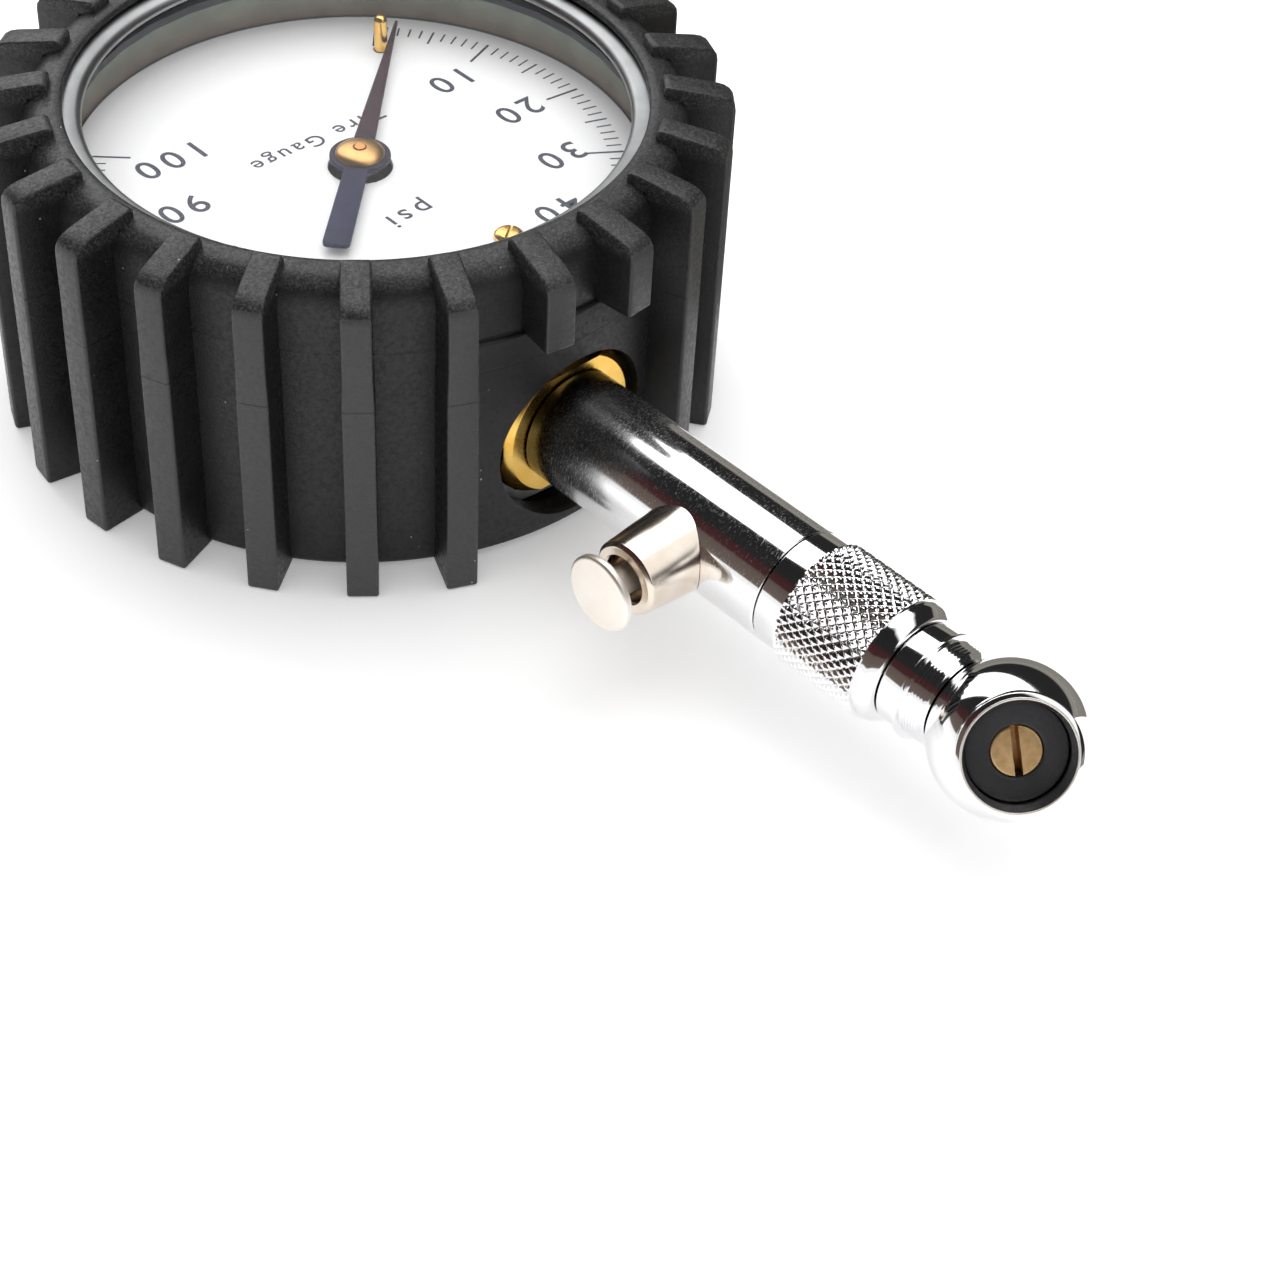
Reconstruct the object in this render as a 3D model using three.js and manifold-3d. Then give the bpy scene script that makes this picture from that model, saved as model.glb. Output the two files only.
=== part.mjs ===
// A dial tyre pressure gauge in a ribbed rubber boot, with a bleeder button and a swivelling ball chuck.
// Millimetres, +Z up. The gauge lies on its back: +Z is out of the dial and +Y runs along the stem.
// The origin is the centre of the boot's back, on the surface it rests on.
import * as THREE from 'three';
import { mergeVertices } from 'three/addons/utils/BufferGeometryUtils.js';
import Module from 'manifold-3d';

const wasm = await Module();
wasm.setup();

// Driving dimensions
const GAP = 0.1; // between flat faces that meet
const STEM_Z = 12.4; // height of the stem's axis
const SMALL_SIDES = 10; // sides of pins, screws and other small round pieces
const ROUND_SIDES = 20; // sides of the stem's pieces
const LARGE_SIDES = 36; // sides of the case, the dial and the window
const BOOT_SIDES = 48;

const RIB_COUNT = 24;
const RIB_WIDTH = 3.2;
const RIB_RADIUS = 40;
const RIB_TURN = THREE.MathUtils.degToRad(-1.7); // how far the ribs are off centre about the stem
const RIB_CUT_Z = 27.8; // the two ribs over the stem stop here
const BOOT_RADIUS = 35.25;
const BOOT_CAVITY = 33.3;
const BOOT_FLOOR = 1.8;
const BOOT_LIP = { radius: 30.7, z: 35.25 };
const PORT = { radius: 9.7, z: 11.8 };

const CASE = { radius: 33, bore: 32.1, bottom: 2.7, floor: 3.6, top: 33.2 };
const BEZEL = { bore: 28.9, bottom: 33.3, top: 35.05 };
const LENS = { radius: 31.8, bottom: 32.2, top: 33.7 };
const DIAL = { radius: 31.1, bottom: 26, top: 26.6, hole: 3.5 };
const DIAL_SCREW_AT = [new THREE.Vector2(-3.6, 20.2), new THREE.Vector2(6.2, 22.3)];
const ZERO_PIN = { radius: 0.75, reach: 24, angle: THREE.MathUtils.degToRad(135.6) };

const NEEDLE = { bottom: 27.6, top: 28.1, tip: 28, tail: 17, disc: 3.3 };
const NEEDLE_ANGLE = THREE.MathUtils.degToRad(132.7); // anticlockwise from +Y, at zero pressure

const GEAR_MODULE = 0.3;
const PINION_TEETH = 10;
const SECTOR_WHOLE_TEETH = 80; // the count if the sector were a whole wheel
const PINION_PITCH = GEAR_MODULE * PINION_TEETH / 2;
const SECTOR_PITCH = GEAR_MODULE * SECTOR_WHOLE_TEETH / 2;
const SECTOR_AT = new THREE.Vector2(-(PINION_PITCH + SECTOR_PITCH), 0);
const SECTOR_SWING = THREE.MathUtils.degToRad(33);
const TAIL_LENGTH = 6;
const TAIL_ANGLE = Math.PI - SECTOR_SWING / 2; // the tail crosses -X half way through the swing
const TAIL_PIN_AT = new THREE.Vector2(TAIL_LENGTH, 0)
  .rotateAround(new THREE.Vector2(), TAIL_ANGLE)
  .add(SECTOR_AT);
const TIP_PIN_AT = new THREE.Vector2(-19.5, -8.4);
const PILLAR_AT = [new THREE.Vector2(5.5, 9.5), new THREE.Vector2(5.5, -9.5)];
const BASE_SCREW_AT = [new THREE.Vector2(-3.5, 9.5), new THREE.Vector2(-3.5, -9.5)];
const BASE_PLATE = { bottom: 11.5, top: 12.5 };
const TOP_PLATE = { bottom: 19.4, top: 20.4 };
const SECTOR_Z = { bottom: 15.5, top: 16.5 };
const LINK_Z = { bottom: 14.2, top: 15.2 };
const HAIRSPRING = { bottom: 13, top: 13.9, inner: 2.2, outer: 5.4, turns: 4.5, thick: 0.2 };

const TUBE = { radius: 24, halfHeight: 4, halfThick: 1.3, wall: 0.4 };
const TUBE_START = THREE.MathUtils.degToRad(12); // clockwise from +Y
const TUBE_END = THREE.MathUtils.degToRad(248);

const SOCKET = { halfWidth: 8.6, bottom: 5.4, top: 19.4, back: 17, front: 34.4, turned: 9 };
const CASE_SCREW_AT = [new THREE.Vector2(-4.5, 23.5), new THREE.Vector2(4.5, 23.5)];

const BARREL = { radius: 6.35, bore: 2, spigot: 4.85, start: 34.6, end: 67.8 };
const BLEEDER_Y = 56;
const BLEEDER = { bore: 1.75, stem: 1.5, mouth: 12.5, headBack: 14.8, headFront: 16, headRadius: 4.1 };
const NUT_SEAT = 59.5; // the shoulder in the barrel that the nut's seal sits on
const NUT = { radius: 6.8, start: 67.95, knurlStart: 71.1, knurlEnd: 81.4, end: 83.3 };
const JOURNAL = 4.4; // radius of the chuck's journal, which turns in the nut
const RING_GROOVE_Y = 80.5;
const SHANK_SEAL_Y = 77.9;
const BALL = { radius: 7.8, y: 95.4, flat: 5.2, seat: -6.2 };
const CUP = { radius: 6, mouth: 5.25, pocket: 4.95, floor: 0.9, rim: 6.1 };
const CUP_TILT = THREE.MathUtils.degToRad(50); // from the stem's axis
const CUP_TURN = THREE.MathUtils.degToRad(41); // about the stem's axis, up from +X
const CORE = { radius: 2.45, top: 4.2, slot: 0.75, slotDepth: 0.8, slotLean: THREE.MathUtils.degToRad(10) };

// Materials
const paint = (color, roughness, metalness) =>
  new THREE.MeshStandardMaterial({ color, roughness, metalness });
const bootRubber = paint(0x1c1c1d, 0.75, 0);
const sealRubber = paint(0x101011, 0.6, 0);
const chrome = paint(0xd8d9dc, 0.08, 1);
const nickel = paint(0xcdc2b2, 0.25, 1);
const brass = paint(0xc9962f, 0.3, 1);
const caseSteel = paint(0x9c9d98, 0.35, 1);
const springSteel = paint(0x8e9094, 0.35, 1);
const dialWhite = paint(0xf4f4f4, 0.6, 0);
const needleBlack = paint(0x2a2533, 0.45, 0.3);
const lensClear = new THREE.MeshStandardMaterial({
  color: 0xf2f6f7, roughness: 0.03, metalness: 0, transparent: true, opacity: 0.2,
});

// Closed solids from three.js geometries

// Keeps positions only, joins equal vertices, drops triangles without area and points the faces out.
function closed(geometry) {
  const bare = new THREE.BufferGeometry();
  bare.setAttribute('position', geometry.getAttribute('position'));
  if (geometry.index) bare.setIndex(geometry.index);
  const merged = mergeVertices(bare, 1e-4);
  const position = merged.getAttribute('position');
  const corner = (i) => new THREE.Vector3().fromBufferAttribute(position, i);
  const triangles = [];
  let volume = 0;
  for (let i = 0; i < merged.index.count; i += 3) {
    const [a, b, c] = [0, 1, 2].map((k) => merged.index.getX(i + k));
    if (a === b || b === c || c === a) continue;
    triangles.push([a, b, c]);
    volume += corner(a).dot(corner(b).cross(corner(c)));
  }
  const outward = volume > 0 ? triangles : triangles.map(([a, b, c]) => [a, c, b]);
  merged.setIndex(outward.flat());
  return merged;
}

function solid(geometry) {
  const mesh = closed(geometry);
  return new wasm.Manifold(new wasm.Mesh({
    numProp: 3,
    vertProperties: Float32Array.from(mesh.getAttribute('position').array),
    triVerts: Uint32Array.from(mesh.index.array),
  }));
}

function geometryOf(manifold) {
  const mesh = manifold.getMesh();
  const geometry = new THREE.BufferGeometry();
  geometry.setAttribute('position', new THREE.BufferAttribute(mesh.vertProperties, mesh.numProp));
  geometry.setIndex(new THREE.BufferAttribute(mesh.triVerts, 1));
  return geometry;
}

const joined = (...pieces) => pieces.reduce((whole, piece) => whole.add(piece));
const cut = (body, ...tools) => tools.reduce((whole, tool) => whole.subtract(tool), body);

// A turned solid about Z. The profile's points are [radius, height].
function turned(profile, sides = SMALL_SIDES) {
  const points = profile.map(([radius, height]) => new THREE.Vector2(radius, height));
  if (profile[0][0] > 0) points.push(points[0].clone());
  return new THREE.LatheGeometry(points, sides).rotateX(Math.PI / 2);
}

// The same about an axis through the stem's height: along +Y, or along +X at the bleeder.
const turnedAlongStem = (profile, sides = ROUND_SIDES) =>
  turned(profile, sides).rotateX(-Math.PI / 2).translate(0, 0, STEM_Z);
const turnedAlongBleeder = (profile, sides = ROUND_SIDES) =>
  turned(profile, sides).rotateY(Math.PI / 2).translate(0, BLEEDER_Y, STEM_Z);

const rod = (radius, from, to) => [[0, from], [radius, from], [radius, to], [0, to]];
const ring = (inner, outer, from, to) => [[inner, from], [outer, from], [outer, to], [inner, to]];
const post = (at, radius, from, to, sides = SMALL_SIDES) =>
  turned(rod(radius, from, to), sides).translate(at.x, at.y, 0);

function plate(shape, from, to, curveSegments = 12) {
  const settings = { depth: to - from, bevelEnabled: false, curveSegments };
  return new THREE.ExtrudeGeometry(shape, settings).translate(0, 0, from);
}

function block(x, y, z) {
  const size = [x, y, z].map(([low, high]) => high - low);
  const middle = [x, y, z].map(([low, high]) => (low + high) / 2);
  return new THREE.BoxGeometry(...size).translate(...middle);
}

// The outline of a bar with round ends between two points.
function bar(from, to, halfWidth) {
  const along = to.clone().sub(from);
  const heading = along.angle();
  const shape = new THREE.Shape();
  shape.absarc(to.x, to.y, halfWidth, heading - Math.PI / 2, heading + Math.PI / 2);
  shape.absarc(from.x, from.y, halfWidth, heading + Math.PI / 2, heading + 3 * Math.PI / 2);
  return shape;
}

function hole(at, radius) {
  const path = new THREE.Path();
  path.absarc(at.x, at.y, radius, 0, 2 * Math.PI, true);
  return path;
}

// A spring's centre line, winding up +Z.
class Helix extends THREE.Curve {
  constructor(radius, from, to, turns) {
    super();
    Object.assign(this, { radius, from, to, turns });
  }

  getPoint(t) {
    const angle = 2 * Math.PI * this.turns * t;
    const height = this.from + (this.to - this.from) * t;
    return new THREE.Vector3(this.radius * Math.cos(angle), this.radius * Math.sin(angle), height);
  }
}

function coil(radius, wire, from, to, turns) {
  const section = new THREE.Shape();
  section.absarc(0, 0, wire, 0, 2 * Math.PI);
  const settings = {
    steps: Math.round(turns * 8),
    bevelEnabled: false,
    curveSegments: 2,
    extrudePath: new Helix(radius, from + wire, to - wire, turns),
  };
  return new THREE.ExtrudeGeometry(section, settings);
}

const gauge = new THREE.Group();

function piece(name, material, shape, parent = gauge) {
  const geometry = shape.isBufferGeometry ? closed(shape) : geometryOf(shape);
  const mesh = new THREE.Mesh(geometry, material);
  mesh.name = name;
  parent.add(mesh);
}

// The rubber boot

// A rib's side view: up the outside, over the rounded corner and in across the rim.
function ribOutline(bottom) {
  const shape = new THREE.Shape();
  shape.moveTo(34.2, bottom);
  shape.lineTo(RIB_RADIUS, bottom);
  shape.lineTo(RIB_RADIUS, 33.7);
  shape.quadraticCurveTo(RIB_RADIUS, 36.3, 37.7, 36.6);
  shape.lineTo(32.7, 37.35);
  shape.lineTo(32.2, 37.1);
  shape.lineTo(32.2, 35.7);
  shape.lineTo(34.2, 35.4);
  return shape;
}

function rib(index) {
  const angle = 2 * Math.PI * (index + 0.5) / RIB_COUNT;
  const overStem = index === 0 || index === RIB_COUNT - 1;
  return plate(ribOutline(overStem ? RIB_CUT_Z : 0), -RIB_WIDTH / 2, RIB_WIDTH / 2, 3)
    .rotateX(Math.PI / 2)
    .rotateZ(Math.PI / 2 + RIB_TURN + angle);
}

// The smooth panel around the port, between the two whole ribs beside the stem.
function portPanel() {
  const reach = 3 * Math.PI / RIB_COUNT;
  const middle = Math.PI / 2 + RIB_TURN;
  const shape = new THREE.Shape();
  shape.absarc(0, 0, BOOT_RADIUS + 0.5, middle - reach, middle + reach);
  shape.absarc(0, 0, BOOT_RADIUS - 1, middle + reach, middle - reach, true);
  return plate(shape, 0.8, RIB_CUT_Z);
}

function rubberBoot() {
  const shell = solid(turned([
    [0, 0], [34.5, 0], [BOOT_RADIUS, 0.8], [BOOT_RADIUS, 33.4], [34.7, 34.9], [33.4, 35.95],
    [31.6, 36.3], [BOOT_LIP.radius + 0.15, 36.1], [BOOT_LIP.radius, 35.65],
    [BOOT_LIP.radius + 0.2, BOOT_LIP.z], [BOOT_CAVITY, BOOT_LIP.z], [BOOT_CAVITY, BOOT_FLOOR],
    [0, BOOT_FLOOR],
  ], BOOT_SIDES));
  const ribs = Array.from({ length: RIB_COUNT }, (_, index) => solid(rib(index)));
  const port = solid(new THREE.CylinderGeometry(PORT.radius, PORT.radius, 14, 32)
    .translate(0, BOOT_RADIUS, PORT.z));
  return cut(joined(shell, solid(portPanel()), ...ribs), port);
}

// The case and its window

const socketOutline = (margin) => solid(block(
  [-SOCKET.halfWidth - margin, SOCKET.halfWidth + margin],
  [30.3, 36],
  [SOCKET.bottom - margin, SOCKET.top + margin],
)).intersect(solid(turnedAlongStem(rod(SOCKET.turned + margin, 30, 37))));

function gaugeCase() {
  const shell = solid(turned([
    [0, CASE.bottom], [CASE.radius - 0.6, CASE.bottom], [CASE.radius, CASE.bottom + 0.6],
    [CASE.radius, CASE.top], [CASE.bore, CASE.top], [CASE.bore, CASE.floor], [0, CASE.floor],
  ], LARGE_SIDES));
  const screwHoles = CASE_SCREW_AT.map((at) => solid(post(at, 1.65, 2, 5)));
  return cut(shell, socketOutline(0.35), ...screwHoles);
}

const bezelRing = () => turned([
  [BEZEL.bore, LENS.top + 0.2], [CASE.bore - 0.15, LENS.top + 0.2], [CASE.bore - 0.15, BEZEL.bottom],
  [CASE.radius, BEZEL.bottom], [CASE.radius, BEZEL.top], [30.4, BEZEL.top],
  [BEZEL.bore + 0.5, BEZEL.top - 0.25], [BEZEL.bore, BEZEL.top - 0.7],
], LARGE_SIDES);
const lens = () => turned(rod(LENS.radius, LENS.bottom, LENS.top), LARGE_SIDES);
const lensGasket = () => turned(ring(30.3, 31.9, LENS.bottom - 1, LENS.bottom - GAP), LARGE_SIDES);
const dialSpacer = () => turned(ring(31.25, 31.95, DIAL.top + 0.05, LENS.bottom - 1.1), LARGE_SIDES);

// The dial, its screws and the zero pin

const zeroPinAt = new THREE.Vector2(0, ZERO_PIN.reach).rotateAround(new THREE.Vector2(), ZERO_PIN.angle);

function dialPlate() {
  const disc = solid(turned(ring(DIAL.hole, DIAL.radius, DIAL.bottom, DIAL.top), LARGE_SIDES));
  const screwHoles = DIAL_SCREW_AT.map((at) => solid(post(at, 0.9, 25, 28)));
  return cut(disc, solid(post(zeroPinAt, ZERO_PIN.radius + GAP, 25, 28)), ...screwHoles);
}

function dialScrew(at) {
  const profile = [
    [0, 23.4], [0.75, 23.4], [0.75, DIAL.top + GAP], [1.6, DIAL.top + GAP], [1.6, DIAL.top + 0.45],
    [1.2, DIAL.top + 0.75], [0, DIAL.top + 0.75],
  ];
  const slot = block([-2, 2], [-0.2, 0.2], [DIAL.top + 0.4, DIAL.top + 1]);
  return geometryOf(cut(solid(turned(profile)), solid(slot))).translate(at.x, at.y, 0);
}

const dialPost = (at) => turned([
  [0, SOCKET.top + GAP], [2, SOCKET.top + GAP], [2, DIAL.bottom - GAP], [0.85, DIAL.bottom - GAP],
  [0.85, 23], [0, 23],
]).translate(at.x, at.y, 0);

const zeroPin = () => turned([
  [0, 24.9], [1.2, 24.9], [1.2, DIAL.bottom - GAP], [ZERO_PIN.radius, DIAL.bottom - GAP],
  [ZERO_PIN.radius, 30.6], [ZERO_PIN.radius - 0.25, 30.9], [0, 30.9],
]).translate(zeroPinAt.x, zeroPinAt.y, 0);

// The needle and the pinion that carries it

function needle() {
  const shape = new THREE.Shape();
  shape.moveTo(-1.25, 0);
  shape.lineTo(-1.45, -NEEDLE.tail + 0.5);
  shape.quadraticCurveTo(-1.4, -NEEDLE.tail, -0.8, -NEEDLE.tail);
  shape.lineTo(0.8, -NEEDLE.tail);
  shape.quadraticCurveTo(1.4, -NEEDLE.tail, 1.45, -NEEDLE.tail + 0.5);
  shape.lineTo(1.25, 0);
  shape.lineTo(0.15, NEEDLE.tip);
  shape.lineTo(-0.15, NEEDLE.tip);
  const blade = solid(plate(shape, NEEDLE.bottom, NEEDLE.top, 4));
  const disc = solid(post(new THREE.Vector2(), NEEDLE.disc, NEEDLE.bottom, NEEDLE.top, ROUND_SIDES));
  const bore = solid(post(new THREE.Vector2(), 0.7, 20, 30));
  return geometryOf(cut(joined(blade, disc), bore)).rotateZ(NEEDLE_ANGLE);
}

const needleCap = () => turned([
  [0.7, NEEDLE.top + 0.05], [2.7, NEEDLE.top + 0.05], [2.65, NEEDLE.top + 0.35],
  [2.2, NEEDLE.top + 0.65], [1.4, NEEDLE.top + 0.85], [0.7, NEEDLE.top + 0.9],
], ROUND_SIDES);
const needleCollet = () => turned(ring(0.7, 2.5, DIAL.top - 0.3, NEEDLE.bottom - 0.05), ROUND_SIDES);

// Trapezoid teeth centred on the given angles, over a root circle.
function toothPoints(pitchRadius, angles) {
  const pitch = Math.PI * GEAR_MODULE;
  const root = pitchRadius - GEAR_MODULE;
  const tip = pitchRadius + 0.65 * GEAR_MODULE;
  const corners = [[root, -0.24], [tip, -0.11], [tip, 0.11], [root, 0.24]];
  return angles.flatMap((angle) => corners.map(([radius, share]) =>
    new THREE.Vector2(radius, 0).rotateAround(new THREE.Vector2(), angle + share * pitch / pitchRadius)));
}

function pinionArbor() {
  const step = 2 * Math.PI / PINION_TEETH;
  const angles = Array.from({ length: PINION_TEETH }, (_, index) => (index + 0.5) * step);
  const teeth = plate(new THREE.Shape(toothPoints(PINION_PITCH, angles)), SECTOR_Z.bottom - 0.6,
    SECTOR_Z.top + 0.6);
  const arbor = turned([
    [0, BASE_PLATE.bottom + GAP], [0.5, BASE_PLATE.bottom + GAP], [0.5, BASE_PLATE.top + 0.2],
    [0.85, BASE_PLATE.top + 0.2], [0.85, TOP_PLATE.bottom - 0.2], [0.6, TOP_PLATE.bottom - 0.2],
    [0.6, NEEDLE.top + 0.95], [0, NEEDLE.top + 0.95],
  ]);
  return joined(solid(teeth), solid(arbor));
}

function sectorGear() {
  const step = 2 * Math.PI / SECTOR_WHOLE_TEETH;
  const angles = Array.from({ length: 11 }, (_, index) => (index - 9) * step);
  const sides = [new THREE.Vector2(0, 2.4), new THREE.Vector2(0, -2.4)];
  const shape = new THREE.Shape([...sides, ...toothPoints(SECTOR_PITCH, angles)]);
  const window = new THREE.Path();
  window.absarc(0, 0, 9.8, -0.6, 0);
  window.absarc(0, 0, 4.2, 0, -0.6, true);
  shape.holes.push(window);
  const wing = solid(plate(shape, SECTOR_Z.bottom, SECTOR_Z.top, 6).translate(SECTOR_AT.x, SECTOR_AT.y, 0));
  const hub = solid(post(SECTOR_AT, 2.6, SECTOR_Z.bottom, SECTOR_Z.top));
  const tail = solid(plate(bar(SECTOR_AT, TAIL_PIN_AT, 1.2), SECTOR_Z.bottom, SECTOR_Z.top, 6));
  const bores = [
    solid(post(SECTOR_AT, 0.85, SECTOR_Z.bottom - 1, SECTOR_Z.top + 1)),
    solid(post(TAIL_PIN_AT, 0.7, SECTOR_Z.bottom - 1, SECTOR_Z.top + 1)),
  ];
  return cut(joined(wing, hub, tail), ...bores);
}

const sectorArbor = () => turned([
  [0, BASE_PLATE.bottom + GAP], [0.5, BASE_PLATE.bottom + GAP], [0.5, BASE_PLATE.top + 0.2],
  [0.75, BASE_PLATE.top + 0.2], [0.75, TOP_PLATE.bottom - 0.2], [0.5, TOP_PLATE.bottom - 0.2],
  [0.5, TOP_PLATE.top - GAP], [0, TOP_PLATE.top - GAP],
]).translate(SECTOR_AT.x, SECTOR_AT.y, 0);

// The link from the sector's tail to the tube's tip, and its two pins

function linkBar() {
  const foot = TIP_PIN_AT.clone().add(new THREE.Vector2(0.1, 0));
  const shape = bar(TAIL_PIN_AT, foot, 1.45);
  shape.holes.push(hole(TAIL_PIN_AT, 0.75), hole(foot, 1.1));
  return plate(shape, LINK_Z.bottom, LINK_Z.top, 6);
}

const tailPin = () => turned([
  [0, LINK_Z.bottom - 0.5], [1.1, LINK_Z.bottom - 0.5], [1.1, LINK_Z.bottom - GAP],
  [0.6, LINK_Z.bottom - GAP], [0.6, SECTOR_Z.top + 0.3], [0, SECTOR_Z.top + 0.3],
]).translate(TAIL_PIN_AT.x, TAIL_PIN_AT.y, 0);
const tipPin = () => turned([
  [0, LINK_Z.bottom - 0.6], [0.6, LINK_Z.bottom - 0.6], [0.6, LINK_Z.top + 0.4], [0, LINK_Z.top + 0.4],
]).translate(TIP_PIN_AT.x, TIP_PIN_AT.y, 0);

// The Bourdon tube, a flattened tube bent into a C, and the block that closes its tip

const clockwise = (radius, angle) => new THREE.Vector2(radius * Math.sin(angle), radius * Math.cos(angle));

class TubeLine extends THREE.Curve {
  getPoint(t) {
    const at = clockwise(TUBE.radius, TUBE_START + (TUBE_END - TUBE_START) * t);
    return new THREE.Vector3(at.x, at.y, STEM_Z);
  }
}

function bourdonTube() {
  const section = new THREE.Shape();
  section.absellipse(0, 0, TUBE.halfHeight, TUBE.halfThick, 0, 2 * Math.PI);
  const inside = new THREE.Path();
  inside.absellipse(0, 0, TUBE.halfHeight - TUBE.wall, TUBE.halfThick - TUBE.wall, 0, 2 * Math.PI, true);
  section.holes.push(inside);
  const settings = { steps: 22, bevelEnabled: false, curveSegments: 4, extrudePath: new TubeLine() };
  return new THREE.ExtrudeGeometry(section, settings);
}

// A piece of a flat ring between two angles, clockwise from +Y.
function arcBlock(inner, outer, from, to, bottom, top) {
  const shape = new THREE.Shape();
  shape.absarc(0, 0, outer, Math.PI / 2 - from, Math.PI / 2 - to, true);
  shape.absarc(0, 0, inner, Math.PI / 2 - to, Math.PI / 2 - from, false);
  return plate(shape, bottom, top, 4);
}

function tipBlock() {
  const start = TUBE_END + THREE.MathUtils.degToRad(0.8);
  const end = TUBE_END + THREE.MathUtils.degToRad(9);
  const cap = solid(arcBlock(22.8, 25.4, start, end, STEM_Z - 4.2, STEM_Z + 4.2));
  const arm = bar(new THREE.Vector2(-22.5, -6.2), TIP_PIN_AT, 1);
  const armSolid = solid(plate(arm, LINK_Z.bottom - 1.5, LINK_Z.bottom - 0.5, 6));
  const bore = solid(post(TIP_PIN_AT, 0.7, LINK_Z.bottom - 1, LINK_Z.bottom));
  return cut(joined(cap, armSolid), bore);
}

// The movement's plates, pillars, screws and hairspring

function movementOutline(arborHole) {
  const shape = new THREE.Shape([
    [-16.8, -3.2], [-5, -12], [8, -12.2], [8, 12.2], [-5, 12], [-16.8, 3.2],
  ].map(([x, y]) => new THREE.Vector2(x, y)));
  shape.holes.push(hole(new THREE.Vector2(), arborHole), hole(SECTOR_AT, 0.6));
  return shape;
}

function basePlate() {
  const shape = movementOutline(0.6);
  BASE_SCREW_AT.forEach((at) => shape.holes.push(hole(at, 0.95)));
  return plate(shape, BASE_PLATE.bottom, BASE_PLATE.top, 6);
}

function topPlate() {
  const shape = movementOutline(0.75);
  PILLAR_AT.forEach((at) => shape.holes.push(hole(at, 0.95)));
  return plate(shape, TOP_PLATE.bottom, TOP_PLATE.top, 6);
}

const pillar = (at) => turned([
  [0, BASE_PLATE.top + GAP], [1.6, BASE_PLATE.top + GAP], [1.6, TOP_PLATE.bottom - GAP],
  [0.9, TOP_PLATE.bottom - GAP], [0.9, 16], [0, 16],
]).translate(at.x, at.y, 0);

// A cheese-head screw whose head rests on the height given.
function cheeseScrew(at, seat, length) {
  const profile = [
    [0, seat - length], [0.8, seat - length], [0.8, seat + GAP], [1.5, seat + GAP],
    [1.5, seat + 0.9], [0, seat + 0.9],
  ];
  const slot = block([-2, 2], [-0.2, 0.2], [seat + 0.5, seat + 1.2]);
  return geometryOf(cut(solid(turned(profile)), solid(slot))).translate(at.x, at.y, 0);
}

// A flat spiral from beside the arbor out to the stud.
function hairspring() {
  const { inner, outer, turns, thick, bottom, top } = HAIRSPRING;
  const steps = 48;
  const side = (offset) => Array.from({ length: steps + 1 }, (_, index) => {
    const share = index / steps;
    const radius = inner + (outer - inner) * share + offset;
    return new THREE.Vector2(radius, 0).rotateAround(new THREE.Vector2(), 2 * Math.PI * turns * share);
  });
  return plate(new THREE.Shape([...side(thick / 2), ...side(-thick / 2).reverse()]), bottom, top);
}

const hairspringStudAt = new THREE.Vector2(-HAIRSPRING.outer - 0.9, 0);
const hairspringStud = () =>
  post(hairspringStudAt, 0.6, BASE_PLATE.top + 0.05, HAIRSPRING.top + 0.3);

// The brass socket that joins the stem, the tube, the movement and the case

function socketBlock() {
  const { halfWidth, bottom, top, back, front } = SOCKET;
  const chamfer = turnedAlongStem([
    [0, 30], [SOCKET.turned, 30], [SOCKET.turned, front - 1.2], [SOCKET.turned - 1, front], [0, front],
  ]);
  const nose = solid(block([-halfWidth, halfWidth], [30.3, 36], [bottom, top])).intersect(solid(chamfer));
  const body = solid(block([-halfWidth, halfWidth], [back, 30.4], [bottom, top]));
  const foot = solid(block([-7.5, 7.5], [18, 29], [CASE.floor + 0.15, bottom + 0.1]));
  const tongue = solid(block([-6, 6], [-12, back + 0.1], [8.3, BASE_PLATE.bottom - GAP]));
  const rootPocket = arcBlock(22.4, 25.6, THREE.MathUtils.degToRad(10), THREE.MathUtils.degToRad(36),
    STEM_Z - 4.3, STEM_Z + 4.3);
  return cut(
    joined(nose, body, foot, tongue),
    solid(rootPocket),
    solid(turnedAlongStem(rod(BARREL.spigot + GAP, 27.6, 36))),
    solid(turnedAlongStem(rod(1.2, 24, 28), SMALL_SIDES).translate(4, 0, 0)),
    ...CASE_SCREW_AT.map((at) => solid(post(at, 1.5, 3, 6.8))),
    ...BASE_SCREW_AT.map((at) => solid(post(at, 0.95, 9, 12))),
  );
}

const caseScrew = (at) => turned([
  [0, 1.9], [2.3, 1.9], [2.6, 2.2], [2.6, CASE.bottom - GAP], [1.35, CASE.bottom - GAP],
  [1.35, 6.4], [0, 6.4],
]).translate(at.x, at.y, 0);

// The chrome barrel

function stemBarrel() {
  const { radius, bore, spigot, start, end } = BARREL;
  const tube = solid(turnedAlongStem([
    [bore, 28], [spigot - 0.4, 28], [spigot, 28.4], [spigot, start], [radius - 0.25, start],
    [radius, start + 0.25], [radius, end - 0.1], [radius - 0.1, end], [3.9, end], [3.9, NUT_SEAT],
    [bore, NUT_SEAT],
  ]));
  return cut(tube, solid(turnedAlongBleeder(rod(2.6, 0, 8), SMALL_SIDES)));
}

// The bleeder valve: a sleeve on the side of the barrel, and a sprung button that opens it

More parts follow.
